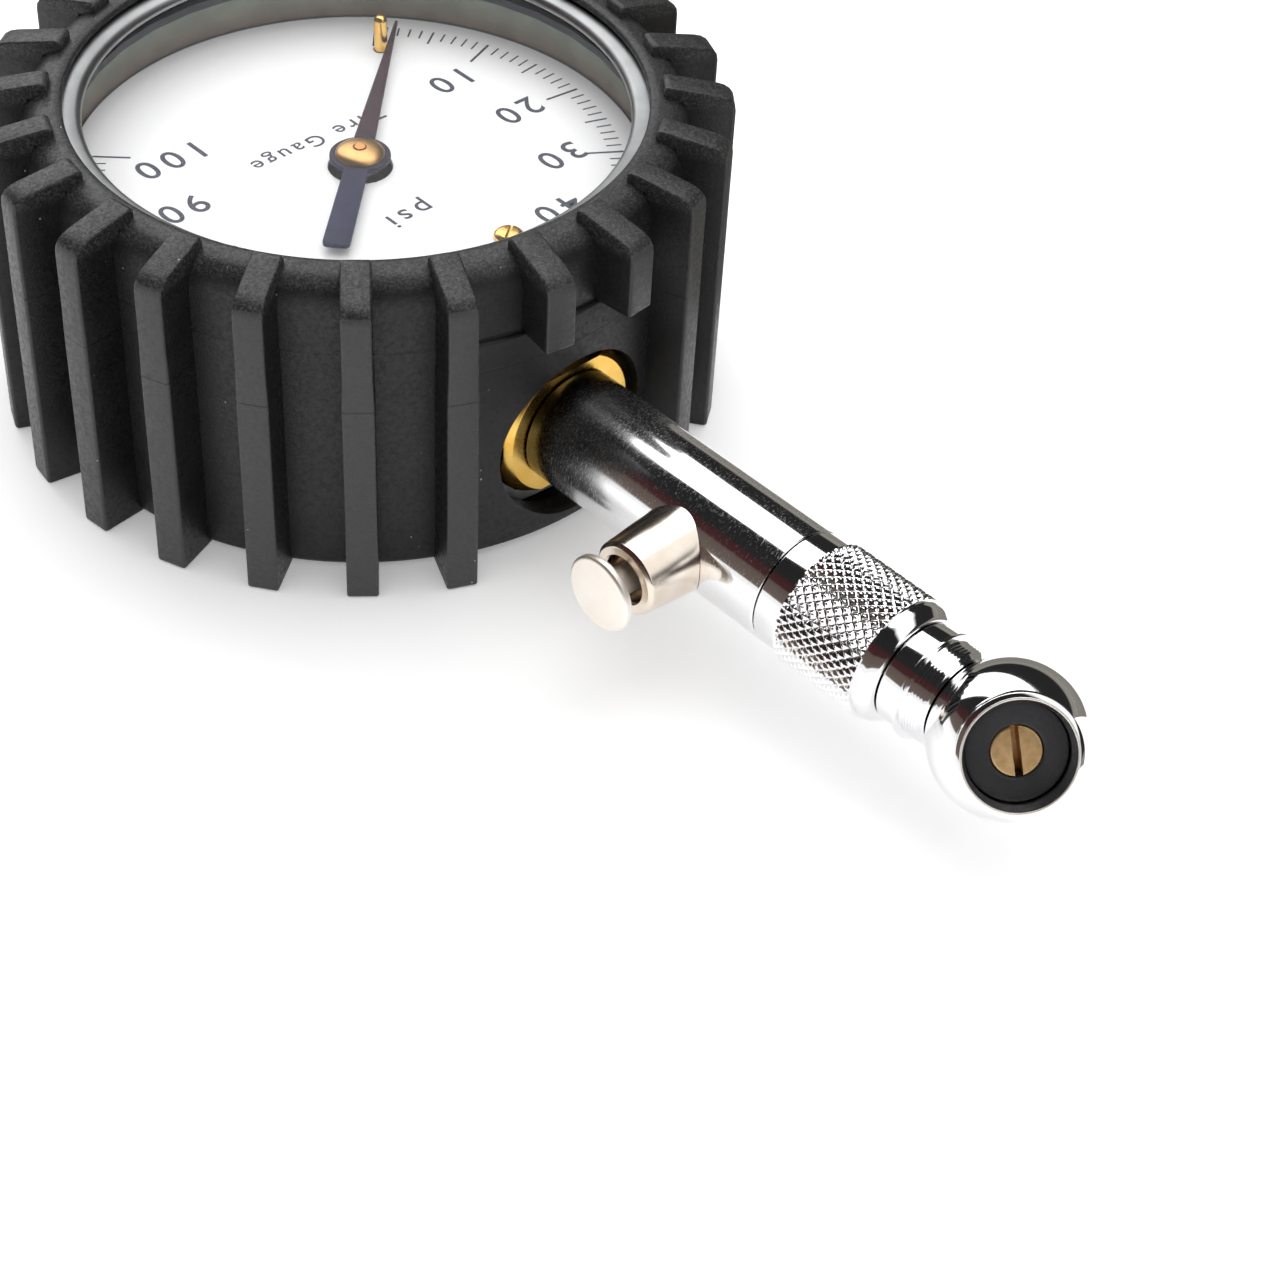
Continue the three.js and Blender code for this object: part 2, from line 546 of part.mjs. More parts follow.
function bleederSleeve() {
  const shell = solid(turnedAlongBleeder([
    [0, 3], [4.75, 3.5], [4.0, BLEEDER.mouth - 0.4], [3.6, BLEEDER.mouth], [0, BLEEDER.mouth],
  ]));
  const saddle = solid(turnedAlongStem(rod(BARREL.radius + 0.2, 40, 70), 32));
  const spigot = solid(turnedAlongBleeder(rod(2.45, 2.9, 8)));
  const seatBore = rod(0.95, 2, 6);
  const guideBore = rod(BLEEDER.bore, 4.6, 11);
  const recess = [[0, 9.2], [2.4, 9.4], [2.6, BLEEDER.mouth + 1], [0, BLEEDER.mouth + 1]];
  const bores = [seatBore, guideBore, recess].map((profile) => solid(turnedAlongBleeder(profile)));
  return cut(joined(cut(shell, saddle), spigot), ...bores);
}

const bleederButton = () => turnedAlongBleeder([
  [0, 1.3], [1.45, 1.3], [1.45, 1.9], [0.7, 1.9], [0.7, 8.3], [BLEEDER.stem, 8.3],
  [BLEEDER.stem, BLEEDER.headBack], [3.7, BLEEDER.headBack], [BLEEDER.headRadius, BLEEDER.headBack + 0.35],
  [BLEEDER.headRadius, BLEEDER.headFront - 0.35], [3.85, BLEEDER.headFront - 0.1], [0, BLEEDER.headFront],
]);
const bleederSeal = () => turnedAlongBleeder(ring(0.8, 1.5, 2, 2.8), SMALL_SIDES);
const bleederSpring = () =>
  coil(1.22, 0.17, 4.7, 8.2, 5).rotateY(Math.PI / 2).translate(0, BLEEDER_Y, STEM_Z);

// The knurled nut, and the check valve inside it

const knurledNut = () => turnedAlongStem([
  [1.6, NUT_SEAT + 1.7], [3.4, NUT_SEAT + 1.7], [3.75, NUT_SEAT + 2.1], [3.75, NUT.start],
  [6.25, NUT.start], [6.35, NUT.start + 0.1],
  [6.35, NUT.knurlStart], [NUT.radius, NUT.knurlStart + 0.3], [NUT.radius, NUT.knurlEnd - 0.2],
  [6.5, NUT.knurlEnd], [6.5, 82.2], [5.7, NUT.end], [JOURNAL + GAP, NUT.end],
  [JOURNAL + GAP, RING_GROOVE_Y + 0.5], [5.1, RING_GROOVE_Y + 0.5], [5.1, RING_GROOVE_Y - 0.5],
  [JOURNAL + GAP, RING_GROOVE_Y - 0.5], [JOURNAL + GAP, 75.4], [1.4, 75.4], [1.4, 74], [2.6, 74],
  [2.6, 66], [1.6, 66],
]);
const nutSeal = () => turnedAlongStem(ring(2.1, 3.7, NUT_SEAT + 0.15, NUT_SEAT + 1.55), SMALL_SIDES);
const checkPoppet = () => turnedAlongStem([
  [0, 70.2], [0.9, 70.2], [0.9, 71.8], [2.4, 71.8], [2.4, 73], [1.6, 73.85], [0, 73.85],
], SMALL_SIDES);
const checkSpring = () => coil(1.5, 0.2, 66.2, 71.7, 5).rotateX(-Math.PI / 2).translate(0, 0, STEM_Z);

// The retaining ring, split so that it can be sprung into its groove

function retainingRing() {
  const whole = solid(turnedAlongStem(ring(3.9, 5, RING_GROOVE_Y - 0.4, RING_GROOVE_Y + 0.4)));
  return cut(whole, solid(block([-0.7, 0.7], [79, 82], [STEM_Z, STEM_Z + 6])));
}

// The chuck: a shank that turns in the nut, and a ball with a cup for the tyre valve

function chuckShank() {
  return turnedAlongStem([
    [1.4, 75.7], [4.1, 75.7], [JOURNAL, 76], [JOURNAL, SHANK_SEAL_Y - 0.6], [3.5, SHANK_SEAL_Y - 0.6],
    [3.5, SHANK_SEAL_Y + 0.6], [JOURNAL, SHANK_SEAL_Y + 0.6], [JOURNAL, RING_GROOVE_Y - 0.5],
    [3.8, RING_GROOVE_Y - 0.5], [3.8, RING_GROOVE_Y + 0.5], [JOURNAL, RING_GROOVE_Y + 0.5],
    [JOURNAL, NUT.end + 0.15], [5.3, NUT.end + 0.15], [5.4, NUT.end + 0.3], [5.4, 86],
    [5.75, 86.05], [5.85, 86.25], [5.75, 86.45], [5.2, 86.5],
    [5.2, 88.3], [4.6, 88.6], [4.6, 88.9], [3.3, 88.9], [3.3, 91.6], [1.4, 91.6],
  ]);
}

function shankSeal() {
  const section = new THREE.Path().absarc(3.96, SHANK_SEAL_Y, 0.42, 0, 2 * Math.PI).getPoints(4);
  return turnedAlongStem(section.slice(0, -1).map((point) => [point.x, point.y]));
}

// The cup's own frame: its axis is +Z, its +X is level and the ball's centre is its origin.
const cupAxis = new THREE.Vector3(0, 1, 0)
  .applyAxisAngle(new THREE.Vector3(0, 0, 1), -CUP_TILT)
  .applyAxisAngle(new THREE.Vector3(0, 1, 0), -CUP_TURN);
const cupLevel = new THREE.Vector3(0, 0, 1).cross(cupAxis).normalize();
const cupFrame = new THREE.Matrix4().makeBasis(cupLevel, cupAxis.clone().cross(cupLevel), cupAxis);
const cupGroup = new THREE.Group();
cupGroup.quaternion.setFromRotationMatrix(cupFrame);
cupGroup.position.set(0, BALL.y, STEM_Z);

function chuckBall() {
  const intoCup = cupFrame.clone().invert();
  const placed = (geometry) => solid(geometry.applyMatrix4(intoCup));
  const flat = placed(block([-9, 9], [BALL.flat, 12], [-9, 9]));
  const seat = placed(block([-9, 9], [-9, BALL.seat], [-9, 9]));
  const shankBore = placed(new THREE.CylinderGeometry(3.6, 3.6, 5, 24).translate(0, -6, 0));
  const crossBore = placed(new THREE.CylinderGeometry(1.2, 1.2, 5, 12).translate(0, -2.2, 0));
  const ball = cut(solid(new THREE.SphereGeometry(BALL.radius, 24, 14)), flat);
  const cup = solid(turned([
    [0, 0], [CUP.radius, 0], [CUP.radius, CUP.rim - 0.55], [CUP.radius - 0.2, CUP.rim - 0.15],
    [CUP.radius - 0.5, CUP.rim], [0, CUP.rim],
  ], ROUND_SIDES));
  const pocket = solid(turned([
    [0, CUP.floor], [CUP.pocket, CUP.floor], [CUP.pocket, CUP.rim - 1.2], [CUP.mouth, CUP.rim - 0.3],
    [CUP.mouth + 0.1, BALL.radius + 1], [0, BALL.radius + 1],
  ], ROUND_SIDES));
  const drain = solid(turned(rod(1.2, -0.5, CUP.floor + 0.5), 12));
  return cut(joined(ball, cup), seat, shankBore, crossBore, pocket, drain);
}

const chuckSeal = () => turned([
  [2.75, 1.2], [4.65, 1.2], [4.65, 4.1], [4.35, 4.4], [3, 4.4], [2.75, 4.15],
], ROUND_SIDES);

function chuckCore() {
  const { radius, top, slot, slotDepth, slotLean } = CORE;
  const profile = [[0, 1.2], [radius, 1.2], [radius, top - 0.2], [radius - 0.2, top], [0, top]];
  const channel = block([-slot / 2, slot / 2], [-3, 3], [top - slotDepth, top + 1]).rotateZ(slotLean);
  return cut(solid(turned(profile, ROUND_SIDES)), solid(channel));
}

piece('rubber_boot', bootRubber, rubberBoot());
piece('gauge_case', caseSteel, gaugeCase());
piece('bezel_ring', caseSteel, bezelRing());
piece('lens', lensClear, lens());
piece('lens_gasket', sealRubber, lensGasket());
piece('dial_spacer', caseSteel, dialSpacer());
piece('dial_plate', dialWhite, dialPlate());
piece('dial_post_left', brass, dialPost(DIAL_SCREW_AT[0]));
piece('dial_post_right', brass, dialPost(DIAL_SCREW_AT[1]));
piece('dial_screw_left', brass, dialScrew(DIAL_SCREW_AT[0]));
piece('dial_screw_right', brass, dialScrew(DIAL_SCREW_AT[1]));
piece('zero_pin', brass, zeroPin());
piece('needle', needleBlack, needle());
piece('needle_cap', brass, needleCap());
piece('needle_collet', nickel, needleCollet());
piece('pinion_arbor', brass, pinionArbor());
piece('sector_gear', brass, sectorGear());
piece('sector_arbor', springSteel, sectorArbor());
piece('link_bar', brass, linkBar());
piece('tail_pin', springSteel, tailPin());
piece('tip_pin', springSteel, tipPin());
piece('tip_block', brass, tipBlock());
piece('bourdon_tube', brass, bourdonTube());
piece('hairspring', springSteel, hairspring());
piece('hairspring_stud', brass, hairspringStud());
piece('movement_base', brass, basePlate());
piece('movement_top', brass, topPlate());
['upper', 'lower'].forEach((side, index) => {
  piece(`pillar_${side}`, brass, pillar(PILLAR_AT[index]));
  piece(`pillar_screw_${side}`, springSteel, cheeseScrew(PILLAR_AT[index], TOP_PLATE.top, 3.8));
  piece(`base_screw_${side}`, springSteel, cheeseScrew(BASE_SCREW_AT[index], BASE_PLATE.top, 3.2));
});
['left', 'right'].forEach((side, index) => {
  piece(`case_screw_${side}`, springSteel, caseScrew(CASE_SCREW_AT[index]));
});
piece('socket_block', brass, socketBlock());
piece('stem_barrel', chrome, stemBarrel());
piece('bleeder_sleeve', nickel, bleederSleeve());
piece('bleeder_button', nickel, bleederButton());
piece('bleeder_seal', sealRubber, bleederSeal());
piece('bleeder_spring', springSteel, bleederSpring());
piece('knurled_nut', chrome, knurledNut());
piece('nut_seal', sealRubber, nutSeal());
piece('check_poppet', sealRubber, checkPoppet());
piece('check_spring', springSteel, checkSpring());
piece('retaining_ring', springSteel, retainingRing());
piece('chuck_shank', chrome, chuckShank());
piece('shank_seal', sealRubber, shankSeal());
piece('chuck_ball', chrome, chuckBall(), cupGroup);
piece('chuck_seal', sealRubber, chuckSeal(), cupGroup);
piece('chuck_core', brass, chuckCore(), cupGroup);
gauge.add(cupGroup);

export default gauge;
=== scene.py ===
"""A dial tire pressure gauge: a rubber boot, a dial under a window, and a chrome stem with a ball chuck."""
import math

import bmesh
import bpy
from bpy.props import FloatProperty, FloatVectorProperty, IntProperty, PointerProperty
from mathutils import Matrix, Vector


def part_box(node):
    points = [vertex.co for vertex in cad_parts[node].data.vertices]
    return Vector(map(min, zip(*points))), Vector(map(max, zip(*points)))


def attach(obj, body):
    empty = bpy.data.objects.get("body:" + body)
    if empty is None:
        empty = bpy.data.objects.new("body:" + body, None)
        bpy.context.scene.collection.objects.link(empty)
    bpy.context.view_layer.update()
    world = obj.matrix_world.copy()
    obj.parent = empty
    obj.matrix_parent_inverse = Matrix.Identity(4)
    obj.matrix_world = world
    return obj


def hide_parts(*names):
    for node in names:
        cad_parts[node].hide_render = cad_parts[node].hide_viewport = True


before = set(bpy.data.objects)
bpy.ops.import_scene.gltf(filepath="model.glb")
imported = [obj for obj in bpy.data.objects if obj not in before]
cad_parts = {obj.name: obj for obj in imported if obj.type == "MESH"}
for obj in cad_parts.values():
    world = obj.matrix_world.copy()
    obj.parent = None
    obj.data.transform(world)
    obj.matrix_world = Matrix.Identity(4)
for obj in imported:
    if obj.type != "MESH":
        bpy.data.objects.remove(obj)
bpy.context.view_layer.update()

bl_info = {
    "name": "Tire Pressure Gauge",
    "version": (1, 0, 0),
    "blender": (4, 5, 0),
    "location": "View3D > Sidebar > Gauge",
    "description": "Builds the looks of a dial tire pressure gauge around its packed frame",
    "category": "Add Mesh",
}

MM = 0.001


def span(node, axis):
    """The lowest and highest place of a CAD node along an axis, in millimetres."""
    low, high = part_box(node)
    return low[axis] / MM, high[axis] / MM


def middle(node, axis):
    return sum(span(node, axis)) / 2


def over(node):
    """The shift from the dial's axis to an upright CAD node's own axis."""
    return Matrix.Translation((middle(node, 0), middle(node, 1), 0))


STEM_Z = middle("stem_barrel", 2)
BARREL_RADIUS = (span("stem_barrel", 2)[1] - span("stem_barrel", 2)[0]) / 2
BARREL_END = span("stem_barrel", 1)[1]
BLEEDER_Y = middle("bleeder_button", 1)
DIAL_TOP = span("dial_plate", 2)[1]
NEEDLE_BOTTOM, NEEDLE_TOP = span("needle", 2)
BALL_CENTRE_Y = 95.4
SHELL_TOP = 36.3
RIB_REACH = 40
RIB_SEAM = 24.4
PANEL_TOP = 27.8
PORT_RADIUS = 9.7
STEM_SIDES = 192
CASE_SIDES = 240


# Shapes. A piece's mesh is made in millimetres and scaled when it becomes a piece.


def filleted(points, fillet, steps, closed):
    """Rounds a profile's corners. A point is (across, along), or with a fillet of its own at the end."""
    line = []
    count = len(points)
    for index, point in enumerate(points):
        here = Vector(point[:2])
        reach = point[2] if len(point) > 2 else fillet
        end = not closed and index in (0, count - 1)
        if end or not reach:
            line.append(here)
            continue
        before = Vector(points[index - 1][:2]) - here
        after = Vector(points[(index + 1) % count][:2]) - here
        room = min(reach, 0.45 * before.length, 0.45 * after.length)
        first = here + before.normalized() * room
        last = here + after.normalized() * room
        for step in range(steps + 1):
            share = step / steps
            side = first.lerp(here, share)
            line.append(side.lerp(here.lerp(last, share), share))
    return line


def lathe(profile, sides, fillet=0.08, steps=3, surface=None):
    """A turned solid about +Z. The profile's points are (radius, height), from the axis or closed."""
    on_axis = profile[0][0] == 0
    line = filleted(profile, fillet, steps, not on_axis)
    shape = bmesh.new()
    rings = []
    for radius, height in line:
        if radius < 1e-6:
            rings.append([shape.verts.new((0, 0, height))])
            continue
        ring = []
        for index in range(sides):
            angle = 2 * math.pi * index / sides
            reach = radius + (surface(angle, height, radius) if surface else 0)
            ring.append(shape.verts.new((reach * math.cos(angle), reach * math.sin(angle), height)))
        rings.append(ring)
    pairs = list(zip(rings, rings[1:]))
    if not on_axis:
        pairs.append((rings[-1], rings[0]))
    for low, high in pairs:
        for index in range(sides):
            after = (index + 1) % sides
            corners = [low[index % len(low)], low[after % len(low)]]
            corners += [high[after % len(high)], high[index % len(high)]]
            corners = list(dict.fromkeys(corners))
            if len(corners) > 2:
                shape.faces.new(corners)
    bmesh.ops.recalc_face_normals(shape, faces=shape.faces[:])
    return shape


def prism(outline, low, high, edge=0.0, segments=2):
    """An outline in X and Y, raised from low to high along Z, with its rims rounded by edge."""
    shape = bmesh.new()
    bottom = [shape.verts.new((x, y, low)) for x, y in outline]
    top = [shape.verts.new((x, y, high)) for x, y in outline]
    shape.faces.new(bottom)
    shape.faces.new(top)
    for index in range(len(outline)):
        after = (index + 1) % len(outline)
        shape.faces.new((bottom[index], bottom[after], top[after], top[index]))
    bmesh.ops.recalc_face_normals(shape, faces=shape.faces[:])
    if edge:
        rims = [rim for rim in shape.edges if rim.verts[0].co.z == rim.verts[1].co.z]
        bmesh.ops.bevel(shape, geom=rims, offset=edge, segments=segments, profile=0.5, affect="EDGES")
    return shape


def box(x, y, z):
    """A plain block for cutting and joining, from its ranges."""
    return prism([(x[0], y[0]), (x[1], y[0]), (x[1], y[1]), (x[0], y[1])], z[0], z[1])


def moved(shape, matrix):
    shape.transform(matrix)
    return shape


def gathered(shapes):
    """One mesh holding several."""
    whole = bmesh.new()
    for shape in shapes:
        data = bpy.data.meshes.new("part")
        shape.to_mesh(data)
        shape.free()
        whole.from_mesh(data)
        bpy.data.meshes.remove(data)
    return whole


def placed(name, shape, material=None):
    """An object in the scene that holds a shape."""
    data = bpy.data.meshes.new(name)
    shape.to_mesh(data)
    shape.free()
    if material:
        data.materials.append(material)
    obj = bpy.data.objects.new(name, data)
    bpy.context.scene.collection.objects.link(obj)
    return obj


def combined(operation, first, *others):
    """The first shape united with, cut by or kept inside the others, one after another."""
    target = placed("target", first)
    tools = [placed("tool", other) for other in others]
    for tool in tools:
        modifier = target.modifiers.new("combine", "BOOLEAN")
        modifier.operation = operation
        modifier.solver = "EXACT"
        modifier.object = tool
    bpy.context.view_layer.update()
    depsgraph = bpy.context.evaluated_depsgraph_get()
    data = bpy.data.meshes.new_from_object(target.evaluated_get(depsgraph))
    shape = bmesh.new()
    shape.from_mesh(data)
    bpy.data.meshes.remove(data)
    for obj in [target, *tools]:
        data = obj.data
        bpy.data.objects.remove(obj)
        bpy.data.meshes.remove(data)
    if not shape.faces:
        raise RuntimeError(f"the {operation.lower()} left nothing")
    return shape


TO_STEM = Matrix.Translation((0, 0, STEM_Z)) @ Matrix.Rotation(math.radians(-90), 4, "X")
TO_BLEEDER = Matrix.Translation((0, BLEEDER_Y, STEM_Z)) @ Matrix.Rotation(math.radians(90), 4, "Y")


def along_stem(profile, sides=STEM_SIDES, **settings):
    return moved(lathe(profile, sides, **settings), TO_STEM)


def along_bleeder(profile, sides=STEM_SIDES, **settings):
    return moved(lathe(profile, sides, **settings), TO_BLEEDER)


def rod(radius, low, high):
    return [(0, low), (radius, low), (radius, high), (0, high)]


def piece(name, shape, material, body="gauge", stands_for=(), sharp=32):
    """Turns a shape into a piece that rides on a body and stands for its CAD nodes."""
    shape.transform(Matrix.Scale(MM, 4))
    obj = placed(name, shape, material)
    data = obj.data
    data.polygons.foreach_set("use_smooth", [True] * len(data.polygons))
    data.set_sharp_from_angle(angle=math.radians(sharp))
    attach(obj, body)
    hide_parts(*stands_for)
    return obj


# Finishes


class Finish:
    """A material while it is being made: its nodes, its shader and the piece's own coordinates."""

    def __init__(self, name, slot, colour, roughness, metallic=0.0, **sockets):
        self.material = bpy.data.materials.new(name)
        self.material["slot"] = slot
        self.material.use_nodes = True
        self.tree = self.material.node_tree
        self.shader = self.tree.nodes["Principled BSDF"]
        self.set("Base Color", (*colour, 1))
        self.set("Roughness", roughness)
        self.set("Metallic", metallic)
        for socket, value in sockets.items():
            self.set(socket.replace("_", " "), value)
        self.place = self.node("ShaderNodeTexCoord").outputs["Object"]

    def set(self, socket, value):
        self.connect(self.shader.inputs[socket], value)

    def connect(self, socket, value):
        if isinstance(value, bpy.types.NodeSocket):
            self.tree.links.new(value, socket)
        else:
            socket.default_value = value

    def node(self, kind, inputs=(), **settings):
        made = self.tree.nodes.new(kind)
        for name, value in settings.items():
            setattr(made, name, value)
        for name, value in dict(inputs).items():
            self.connect(made.inputs[name], value)
        return made

    def stretched(self, x, y, z):
        """The piece's coordinates with each axis stretched, which squeezes a pattern along it."""
        mapping = self.node("ShaderNodeMapping", {"Vector": self.place, "Scale": (x, y, z)})
        return mapping.outputs["Vector"]

    def noise(self, size, detail=3.0, place=None, roughness=0.5):
        """Noise whose patches are about size millimetres across."""
        inputs = {"Vector": place or self.place, "Scale": 1 / (size * MM), "Detail": detail}
        made = self.node("ShaderNodeTexNoise", inputs)
        made.inputs["Roughness"].default_value = roughness
        return made.outputs["Fac"]

    def ramp(self, factor, *stops):
        """Colours at places along a factor. A colour may be one grey number."""
        made = self.node("ShaderNodeValToRGB", {"Fac": factor})
        elements = made.color_ramp.elements
        while len(elements) < len(stops):
            elements.new(0.5)
        for element, (position, colour) in zip(elements, stops):
            element.position = position
            element.color = (*colour, 1) if isinstance(colour, tuple) else (colour, colour, colour, 1)
        return made.outputs["Color"]

    def sum(self, first, second, operation="ADD"):
        made = self.node("ShaderNodeMath", operation=operation)
        self.connect(made.inputs[0], first)
        self.connect(made.inputs[1], second)
        return made.outputs[0]

    def blended(self, factor, first, second, kind="MIX"):
        made = self.node("ShaderNodeMix", data_type="RGBA", blend_type=kind)
        self.connect(made.inputs[0], factor)
        self.connect(made.inputs[6], first)
        self.connect(made.inputs[7], second)
        return made.outputs[2]

    def passing(self, value, start, end, low=0.0, high=1.0):
        """A number that passes from low to high while a value passes from start to end."""
        inputs = {"Value": value, "From Min": start, "From Max": end, "To Min": low, "To Max": high}
        return self.node("ShaderNodeMapRange", inputs).outputs[0]

    def bump(self, height, strength, depth, normal=None):
        """Relief of a depth in millimetres."""
        inputs = {"Height": height, "Strength": strength, "Distance": depth * MM}
        made = self.node("ShaderNodeBump", inputs)
        if normal:
            self.connect(made.inputs["Normal"], normal)
        return made.outputs["Normal"]

    def axis(self, index):
        """One of the piece's coordinates, in millimetres."""
        split = self.node("ShaderNodeSeparateXYZ", {"Vector": self.place})
        return self.sum(split.outputs[index], 1 / MM, "MULTIPLY")

    def radius(self):
        """The distance from the dial's axis, in millimetres."""
        flat = self.node("ShaderNodeVectorMath", {0: self.place, 1: (1, 1, 0)}, operation="MULTIPLY")
        length = self.node("ShaderNodeVectorMath", {0: flat.outputs[0]}, operation="LENGTH")
        return self.sum(length.outputs["Value"], 1 / MM, "MULTIPLY")

    def line(self, value, at, width):
        """One in a band of the width given around a value, and nothing outside it."""
        offset = self.sum(value, at, "SUBTRACT")
        away = self.node("ShaderNodeMath", {0: offset}, operation="ABSOLUTE").outputs[0]
        return self.passing(away, width, width / 2)

    def glow(self, colour):
        """Makes the surface a lamp of a colour, in place of the shader."""
        lamp = self.node("ShaderNodeEmission", {"Color": colour, "Strength": 1.0})
        self.connect(self.tree.nodes["Material Output"].inputs["Surface"], lamp.outputs[0])


def rubber(name, slot, colour, roughness, grain, seams=(), dust=0.0):
    """Moulded rubber with a fine grain and uneven gloss.

    Seams are the heights of the mould's seam on the ribs and on the wall, and the radius between the
    two. With seams, the ribs' outer faces are painted paler as a painted sheen, and the boot's top gets
    pale specks as painted highlights. Dust is how pale the specks of dust are.
    """
    made = Finish(name, slot, colour, roughness, Specular_IOR_Level=0.42)
    shade = [tuple(channel * factor for channel in colour) for factor in (0.7, 1.0, 1.45)]
    cloud = made.noise(6.0, 4.0)
    base = made.ramp(cloud, (0.25, shade[0]), (0.5, shade[1]), (0.8, shade[2]))
    fine = made.noise(grain, 5.0, roughness=0.65)
    made.set("Roughness", made.ramp(made.noise(0.5, 6.0), (0.35, roughness - 0.12), (0.65, roughness + 0.1)))
    normal = made.bump(fine, 0.75, 0.05)
    if seams:
        outer, inner, split = seams
        height, radius = made.axis(2), made.radius()
        # Painted sheen: the ribs' outer faces, which face the light, are painted paler.
        sheen_and_wear = made.sum(radius, RIB_REACH - 0.3, "GREATER_THAN")
        base = made.blended(sheen_and_wear, base, (0.034, 0.034, 0.035, 1))
        # Painted highlights: pale specks across the boot's top stand for the glints of its grain.
        top = made.passing(height, SHELL_TOP - 1.9, SHELL_TOP - 0.9)
        glint_specks = made.ramp(made.noise(0.26, 3.0, roughness=0.7), (0.46, 0.1), (0.64, 1.0))
        base = made.blended(made.sum(top, glint_specks, "MULTIPLY"), base, (0.05, 0.05, 0.05, 1))
        on_rib = made.sum(made.line(height, outer, 0.13), made.sum(radius, split, "GREATER_THAN"), "MULTIPLY")
        on_wall = made.sum(made.line(height, inner, 0.15), made.sum(radius, split, "LESS_THAN"), "MULTIPLY")
        seam = made.sum(on_rib, on_wall)
        base = made.blended(made.sum(seam, 0.6, "MULTIPLY"), base, (0.003, 0.003, 0.003, 1))
        normal = made.bump(made.sum(1.0, seam, "SUBTRACT"), 0.35, 0.08, normal)
    if dust:
        specks = made.node("ShaderNodeTexVoronoi", {"Vector": made.place, "Scale": 1 / (1.9 * MM)})
        size = made.sum(made.noise(2.3, 2.0), 0.12, "MULTIPLY")
        speck = made.sum(specks.outputs["Distance"], made.sum(size, 0.018, "SUBTRACT"), "LESS_THAN")
        patches = made.ramp(made.noise(9.0, 2.0), (0.5, 0.0), (0.62, 1.0))
        base = made.blended(made.sum(speck, patches, "MULTIPLY"), base, (dust, dust, dust * 0.95, 1))
    made.set("Base Color", base)
    made.set("Normal", normal)
    return made.material


def turned_metal(name, slot, colours, roughness, axis, line=0.1, relief=0.0006, scuff=0.12, hairs=0.0,
                 start=None):
    """Turned metal: fine rings square to its axis, slow colour drift, and scuffs that dull the gloss.

    Hairs is how dull the fine scratches across the axis are. Start is a place along the axis where
    the metal comes out of another piece; its colour is darkened there as painted shade, and it is hazy
    for a way beyond.
    """
    made = Finish(name, slot, colours[0], roughness, metallic=1.0)
    drift = made.noise(3.5, 3.0)
    tint = made.ramp(drift, (0.35, colours[0]), (0.65, colours[1]))
    squeeze = [0.06, 0.06, 0.06]
    squeeze[axis] = 1.0
    rings = made.noise(line, 4.0, made.stretched(*squeeze), 0.7)
    scratches = made.noise(0.35, 8.0, made.stretched(0.5, 3.0, 0.8), 0.75)
    gloss = made.sum(scratches, made.noise(4.5, 4.0), "MULTIPLY")
    dull = made.ramp(gloss, (0.12, roughness), (0.5, roughness + scuff))
    if hairs:
        thin = [0.16, 0.16, 0.16]
        thin[axis] = 1.0
        strands = made.noise(0.075, 2.0, made.stretched(*thin), 0.8)
        cuts = made.ramp(strands, (0.56, 0.0), (0.7, hairs))
        dull = made.sum(dull, cuts, "MAXIMUM")
    if start is not None:
        along = made.axis(axis)
        # Painted shade: the colour darkens towards start, where the metal comes out of another piece.
        painted_shade = made.passing(along, start, start + 3, 0.12, 1.0)
        tint = made.blended(1.0, tint, painted_shade, "MULTIPLY")
        dull = made.sum(dull, made.passing(along, start + 6, start + 17, 0.14, 0.0))
    made.set("Base Color", tint)
    made.set("Roughness", dull)
    normal = made.bump(scratches, 0.25, relief * 2, made.bump(rings, 0.5, relief))
    made.set("Normal", normal)
    return made.material


def flat_metal(name, slot, colours, roughness, grain=0.25, relief=0.002, mottle=1.2):
    """Plain metal with a mottled colour and a slight grain."""
    made = Finish(name, slot, colours[0], roughness, metallic=1.0)
    made.set("Base Color", made.ramp(made.noise(mottle, 5.0), (0.3, colours[0]), (0.7, colours[1])))
    gloss = made.noise(grain * 3, 5.0)
    made.set("Roughness", made.ramp(gloss, (0.3, roughness - 0.05), (0.7, roughness + 0.1)))
    made.set("Normal", made.bump(made.noise(grain, 5.0), 0.4, relief))
    return made.material


def enamel(name, slot, colour, edge, reach):
    """Dial enamel: nearly even, with a faint grain and a rim darkened as painted shade."""
    made = Finish(name, slot, colour, 0.55, Specular_IOR_Level=0.3)
    share = made.sum(made.radius(), reach, "DIVIDE")
    # Painted shade: the face darkens to the edge colour over its outer rim.
    face = made.ramp(share, (0.0, colour), (0.93, colour), (1.0, edge))
    speckle = made.ramp(made.noise(0.3, 4.0), (0.3, 0.985), (0.7, 1.0))
    made.set("Base Color", made.blended(1.0, face, speckle, "MULTIPLY"))
    made.set("Normal", made.bump(made.noise(0.2, 3.0), 0.15, 0.004))
    return made.material


def ink(name, slot, colour):
    """Printing ink, a little uneven."""
    made = Finish(name, slot, colour, 0.6)
    pale = tuple(channel * 1.7 + 0.01 for channel in colour)
    made.set("Base Color", made.ramp(made.noise(0.5, 4.0), (0.35, colour), (0.75, pale)))
    return made.material


